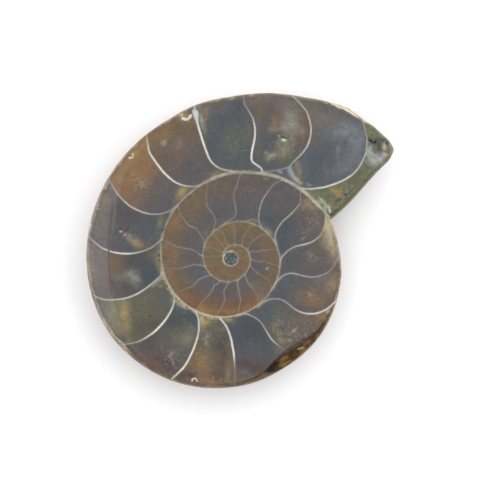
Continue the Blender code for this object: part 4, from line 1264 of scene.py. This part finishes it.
def through_knots(values, t):
    """Smooth rows through knots one apart: values is columns by knots, t runs over the knots."""
    slopes = np.diff(values, axis=1)
    before, after = slopes[:, :-1], slopes[:, 1:]
    same_way = before * after > 0.0
    inner = np.where(same_way, 2.0 * before * after / np.where(same_way, before + after, 1.0), 0.0)
    tangents = np.concatenate((slopes[:, :1], inner, slopes[:, -1:]), 1)
    i = np.clip(t.astype(int), 0, values.shape[1] - 2)
    f = (t - i)[None, :]
    start = (1.0 + 2.0 * f) * (1.0 - f) ** 2 * values[:, i] + f * (1.0 - f) ** 2 * tangents[:, i]
    end = f * f * (3.0 - 2.0 * f) * values[:, i + 1] + f * f * (f - 1.0) * tangents[:, i + 1]
    return start + end


def side_grid():
    """Radius and depth of the natural side: one column for each back, rim first, pit last."""
    umbilicus = UMBILICUS_SHARE * OUTSIDE
    thickness = thickness_at(BACKS)
    fall = edge_fall(RIM_ANGLE)
    radii, depths = [RIM_RADIUS], [fall]
    for way, share in SECTION:
        radii.append(OUTSIDE + way * (umbilicus - OUTSIDE))
        depths.append(share * thickness)
    radii.append(np.full(len(BACKS), PIT_RADIUS))
    depths.append(np.full(len(BACKS), FACE_HEIGHT - PIT_HEIGHT))
    knots = len(radii) - 1
    t = knots * np.linspace(0.0, 1.0, SIDE_ROWS + 1)
    return through_knots(np.stack(radii, 1), t), through_knots(np.stack(depths, 1), t), t


def grid_normals(points):
    """Unit normals of a grid of points, facing away from the body."""
    down = np.gradient(points, axis=1)
    along = np.gradient(points, axis=0)
    normal = np.cross(down, along)
    return normal / np.maximum(np.linalg.norm(normal, axis=2, keepdims=True), 1e-9)


RIB_COUNT = 46


def side_place(back, radius, depth):
    """Points of the natural side from their section, radius and depth under the face."""
    angle = np.radians(section_angle(back, radius, depth))
    return np.stack((radius * np.cos(angle), radius * np.sin(angle), FACE_HEIGHT - depth), 2)


def side_points():
    """The natural side's points, how far each lies from its smooth place, and what shapes its looks."""
    radius, depth, t = side_grid()
    back = np.repeat(BACKS[:, None], radius.shape[1], 1)
    smooth = side_place(back, radius, depth)
    x, y = smooth[:, :, 0], smooth[:, :, 1]
    way = (OUTSIDE[:, None] - radius) / np.maximum(OUTSIDE[:, None] * 0.8, 1.0)
    run = back / 360.0 * RIB_COUNT
    bend = 1.3 * np.sin(math.pi * (way - 0.1)) + 0.5 * np.sin(2.0 * math.pi * way)
    rib = 0.5 - 0.5 * np.cos(2.0 * math.pi * (run + bend + 0.15 * clouds(x, y, 6.0, 101)))
    lines = clouds(run * 5.0 + bend * 5.0, way * 1.2, 1.0, 102, 3)
    worn = smoothstep(-0.1, 0.5, clouds(x, y, 9.0, 103))
    reach = smoothstep(0.0, 0.06, way) * (1.0 - smoothstep(0.75, 0.95, way))
    inward = 0.02 + 0.17 * (1.0 - rib) * reach * (0.35 + 0.65 * worn)
    inward = inward + 0.025 * (lines + 1.0) * smoothstep(0.0, 0.02, way)
    inward = inward * smoothstep(0.0, 2.0, t)[None, :]
    points = smooth - grid_normals(smooth) * inward[:, :, None]
    return points, (radius, depth, smooth), (back, way, rib, lines)


def side_colours(points, back, way, rib, lines):
    """Old mother-of-pearl and brown shell, with grey-green sediment in the umbilicus and painted shade in the grooves
    between the ribs.
    """
    x, y, z = points[:, :, 0], points[:, :, 1], points[:, :, 2]
    arc = np.radians(back) * 20.0
    drop = FACE_HEIGHT - z
    blotch = clouds(arc, drop + way * 20.0, 5.0, 111)
    fine = clouds(arc, drop + way * 20.0, 1.0, 112)
    tan, brown = linear((168, 146, 116)), linear((112, 86, 62))
    pearl, grey = linear((206, 192, 168)), linear((104, 104, 88))
    mix = smoothstep(-0.5, 0.5, blotch + 0.4 * fine)[:, :, None]
    colour = brown + (tan - brown) * mix
    pearly = smoothstep(0.1, 0.5, clouds(arc, drop * 1.5 + way * 20.0, 3.5, 113) + 0.2 * fine)
    colour = colour + (pearl - colour) * (0.5 * pearly)[:, :, None]
    # Painted shade: darker in the grooves between the ribs, which the mesh also cuts in; the growth lines add their
    # own tone.
    colour = colour * (0.62 + 0.5 * rib + 0.18 * lines)[:, :, None]
    rock = smoothstep(0.84, 0.97, way + 0.06 * fine)[:, :, None]
    colour = colour + (grey * (0.8 + 0.3 * fine[:, :, None]) - colour) * rock
    sliver = smoothstep(47.5, 49.0, RIM_ANGLE) * (1.0 - smoothstep(57.5, 59.0, RIM_ANGLE))
    layers = 0.75 + 0.25 * np.sin(9.0 * drop + 2.5 * fine)
    band = sliver[:, None] * (1.0 - smoothstep(1.0, 1.8, drop)) * (0.9 + 0.1 * fine)
    cream = linear(PALETTE["shell_cream"]) * layers[:, :, None]
    colour = colour + (cream - colour) * np.clip(band, 0.0, 1.0)[:, :, None]
    # The side's top band just under the rim turns burnt brown from 221 to 340 degrees.
    burnt_under_rim = smoothstep(221.0, 227.0, RIM_ANGLE) * (1.0 - smoothstep(325.0, 340.0, RIM_ANGLE))
    band = burnt_under_rim[:, None] * (1.0 - smoothstep(0.6, 2.2, drop)) * (0.75 + 0.25 * fine)
    colour = colour + (linear(PALETTE["burnt"]) - colour) * np.clip(band, 0.0, 1.0)[:, :, None]
    return np.clip(colour, 0.01, 0.9).reshape(-1, 3)


def grid_faces(columns, rows):
    """Quads of a grid whose points run down the rows of each column in turn."""
    faces = []
    for i in range(columns - 1):
        for j in range(rows - 1):
            a = i * rows + j
            faces.append((a, a + 1, a + rows + 1, a + rows))
    return faces


def shell_material():
    material, tree, shader = new_material("old_shell")
    place = tree.nodes.new("ShaderNodeTexCoord").outputs["Object"]
    tint = attribute(tree, "tint").outputs["Color"]
    patch = noise_node(tree, place, 0.9, 5.0, 0.6).outputs["Fac"]
    pore = noise_node(tree, place, 0.14, 3.0).outputs["Fac"]
    amount = maths(tree, "MULTIPLY", ranged(tree, patch, 0.3, 0.7, 0.78, 1.2), ranged(tree, pore, 0.3, 0.7, 0.9, 1.1))
    tree.links.new(scaled_colour(tree, tint, amount), shader.inputs["Base Color"])
    tree.links.new(ranged(tree, patch, 0.3, 0.7, 0.5, 0.28), shader.inputs["Roughness"])
    bump = tree.nodes.new("ShaderNodeBump")
    bump.inputs["Distance"].default_value = 0.03 * MM
    bump.inputs["Strength"].default_value = 0.4
    tree.links.new(pore, bump.inputs["Height"])
    tree.links.new(bump.outputs["Normal"], shader.inputs["Normal"])
    return material


def make_side():
    points, section, (back, way, rib, lines) = side_points()
    colour = side_colours(points, back, way, rib, lines)
    columns, rows = points.shape[:2]
    faces = grid_faces(columns, rows)
    floor = [i * rows + rows - 1 for i in range(columns - 1)]
    faces.append(floor[::-1])
    made = new_mesh_object("natural_shell", to_world(*points.reshape(-1, 3).T), faces, shell_material())
    paint(made, "tint", colour)
    return made, points, section


# ---------------------------------------------------------------- the broken lip


def lip_material():
    """Crumbly hardened mud."""
    material, tree, shader = new_material("broken_sediment")
    place = tree.nodes.new("ShaderNodeTexCoord").outputs["Object"]
    tint = attribute(tree, "tint").outputs["Color"]
    crumb = noise_node(tree, place, 0.2, 5.0, 0.7).outputs["Fac"]
    amount = ranged(tree, crumb, 0.3, 0.7, 0.6, 1.35)
    tree.links.new(scaled_colour(tree, tint, amount), shader.inputs["Base Color"])
    shader.inputs["Roughness"].default_value = 0.8
    bump = tree.nodes.new("ShaderNodeBump")
    bump.inputs["Distance"].default_value = 0.12 * MM
    bump.inputs["Strength"].default_value = 0.7
    tree.links.new(crumb, bump.inputs["Height"])
    tree.links.new(bump.outputs["Normal"], shader.inputs["Normal"])
    return material


def lip_colours(along, z, t):
    """Grey-green mud with rusty stains, and shell at the lip's outer end."""
    body = linear((100, 102, 82)) * (1.0 + 0.45 * clouds(along, z, 0.5, 123, 3))[:, :, None]
    stain = smoothstep(0.1, 0.5, clouds(along, z, 2.4, 124))[:, :, None]
    body = body + (linear((128, 112, 80)) - body) * 0.6 * stain
    shell = np.exp(-(((1.0 - t) * 15.0 / 0.3) ** 2))[:, None, None]
    body = body + (linear((196, 182, 152)) - body) * 0.85 * shell
    return np.clip(body, 0.01, 0.9).reshape(-1, 3)


def make_lip(side, section):
    """The broken end of the last whorl: sediment inside a thin rim of shell."""
    radius, depth, smooth = section
    t = np.linspace(0.0, 1.0, LIP_COLUMNS + 1)
    share = t[:, None]
    radius = radius[-1] + share * (radius[0] - radius[-1])
    depth = depth[-1] + share * (depth[0] - depth[-1])
    grid = side_place(np.zeros_like(radius), radius, depth)
    push_foot, push_tip = side[-1] - smooth[-1], side[0] - smooth[0]
    grid += push_foot + t[:, None, None] * (push_tip - push_foot)
    rows = grid.shape[1]
    shift = np.stack((LIP_X, LIP_Y), 1) - grid[:, 0, :2]
    fade = np.exp(-np.arange(rows) / 9.0)
    grid[:, :, :2] += shift[:, None, :] * fade[None, :, None]
    along = np.hypot(grid[:, :, 0] - side[-1, 0, 0], grid[:, :, 1] - side[-1, 0, 1])
    z = grid[:, :, 2]
    free = np.sin(math.pi * t)[:, None] ** 0.4 * smoothstep(0, 6, np.arange(rows))[None, :]
    rough = 0.2 * clouds(along, z, 2.0, 121) + 0.14 * clouds(along, z, 0.6, 122) - 0.25
    grid = grid + grid_normals(grid) * (free * rough)[:, :, None]
    faces = grid_faces(LIP_COLUMNS + 1, rows)
    made = new_mesh_object("broken_lip", to_world(*grid.reshape(-1, 3).T), faces, lip_material())
    paint(made, "tint", lip_colours(along, z, t))
    return made


# ---------------------------------------------------------------- studio


def make_floor():
    half = 1.5
    points = np.array([(-half, -half, 0.0), (half, -half, 0.0), (half, half, 0.0), (-half, half, 0.0)])
    material, tree, shader = new_material("pale_floor")
    shader.inputs["Base Color"].default_value = (0.925, 0.93, 0.945, 1.0)
    shader.inputs["Roughness"].default_value = 1.0
    shader.inputs["Specular IOR Level"].default_value = 0.0
    made = new_mesh_object("floor", points, [(0, 1, 2, 3)], material)
    return made


# The soft dome's brightness overhead, its mean away from there, and the heading it grows towards.
SKY_ZENITH, SKY_MEAN = 1.17, 1.38
SKY_LEAN, SKY_HEADING = 0.5, 58.0
ZENITH_RADIUS, ZENITH_SOFT = 8.0, 5.0
# Panels in the dome: tilt from overhead, heading, radius and soft edge in degrees, brightness.
PANELS = (
    (15.0, 186.0, 8.1, 1.6, 1.9),
    (25.0, -47.0, 13.0, 1.2, 0.05),
)


def towards(tilt, heading):
    """Unit vector that leans from overhead by tilt, in degrees, towards a heading."""
    t, h = math.radians(tilt), math.radians(heading)
    return Vector((math.sin(t) * math.cos(h), math.sin(t) * math.sin(h), math.cos(t)))


def disc(tree, direction, centre, radius, soft):
    """1 where a direction lies within radius degrees of the centre, 0 past the soft edge."""
    dot = node(tree, "ShaderNodeVectorMath", operation="DOT_PRODUCT")
    dot.inputs[1].default_value = centre
    tree.links.new(direction, dot.inputs[0])
    inner, outer = math.cos(math.radians(radius)), math.cos(math.radians(radius + soft))
    return ranged(tree, dot.outputs["Value"], outer, inner, 0.0, 1.0)


def blended(tree, amount, first, second):
    """first where amount is 0 and second where it is 1."""
    made = node(tree, "ShaderNodeMix", data_type="FLOAT")
    for socket, value in (("Factor", amount), ("A", first), ("B", second)):
        if isinstance(value, (int, float)):
            made.inputs[socket].default_value = value
        else:
            tree.links.new(value, made.inputs[socket])
    return made.outputs["Result"]


def make_sky():
    """A soft studio dome with a bright panel at the left and a dark one at the lower right."""
    world = bpy.data.worlds.new("studio")
    bpy.context.scene.world = world
    world.use_nodes = True
    tree = world.node_tree
    background = tree.nodes["Background"]
    direction = tree.nodes.new("ShaderNodeTexCoord").outputs["Generated"]
    lean = node(tree, "ShaderNodeVectorMath", operation="DOT_PRODUCT")
    lean.inputs[1].default_value = towards(90.0, SKY_HEADING)
    tree.links.new(direction, lean.inputs[0])
    step = SKY_LEAN * SKY_MEAN
    dome = ranged(tree, lean.outputs["Value"], -1.0, 1.0, SKY_MEAN - step, SKY_MEAN + step)
    overhead = disc(tree, direction, towards(0.0, 0.0), ZENITH_RADIUS, ZENITH_SOFT)
    dome = blended(tree, overhead, dome, SKY_ZENITH)
    for tilt, heading, radius, soft, brightness in PANELS:
        panel = disc(tree, direction, towards(tilt, heading), radius, soft)
        dome = blended(tree, panel, dome, brightness)
    is_camera = tree.nodes.new("ShaderNodeLightPath").outputs["Is Camera Ray"]
    tree.links.new(blended(tree, is_camera, dome, 1.0), background.inputs["Strength"])
    background.inputs["Color"].default_value = (1.0, 1.0, 1.0, 1.0)


# The camera sees 76.8 mm across the face's height, a little off the part's middle.
PHOTO_SPAN = 76.8 * MM
LENS, SENSOR = 180.0, 36.0
CAMERA_PLACE = (-0.03 * MM, 0.128 * MM)


def make_camera():
    data = bpy.data.cameras.new("camera")
    data.lens = LENS
    data.sensor_width = SENSOR
    made = bpy.data.objects.new("camera", data)
    height = FACE_HEIGHT * MM + PHOTO_SPAN * LENS / SENSOR
    made.location = (*CAMERA_PLACE, height)
    data.clip_start, data.clip_end = 0.01, 10.0
    bpy.context.scene.collection.objects.link(made)
    bpy.context.scene.camera = made


bpy.context.scene.view_settings.view_transform = "Standard"
face = make_face()
side, side_points_found, side_section = make_side()
lip = make_lip(side_points_found, side_section)
for piece in (face, side, lip):
    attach(piece, "root")
    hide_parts(NODE)
make_floor()
make_sky()
make_camera()
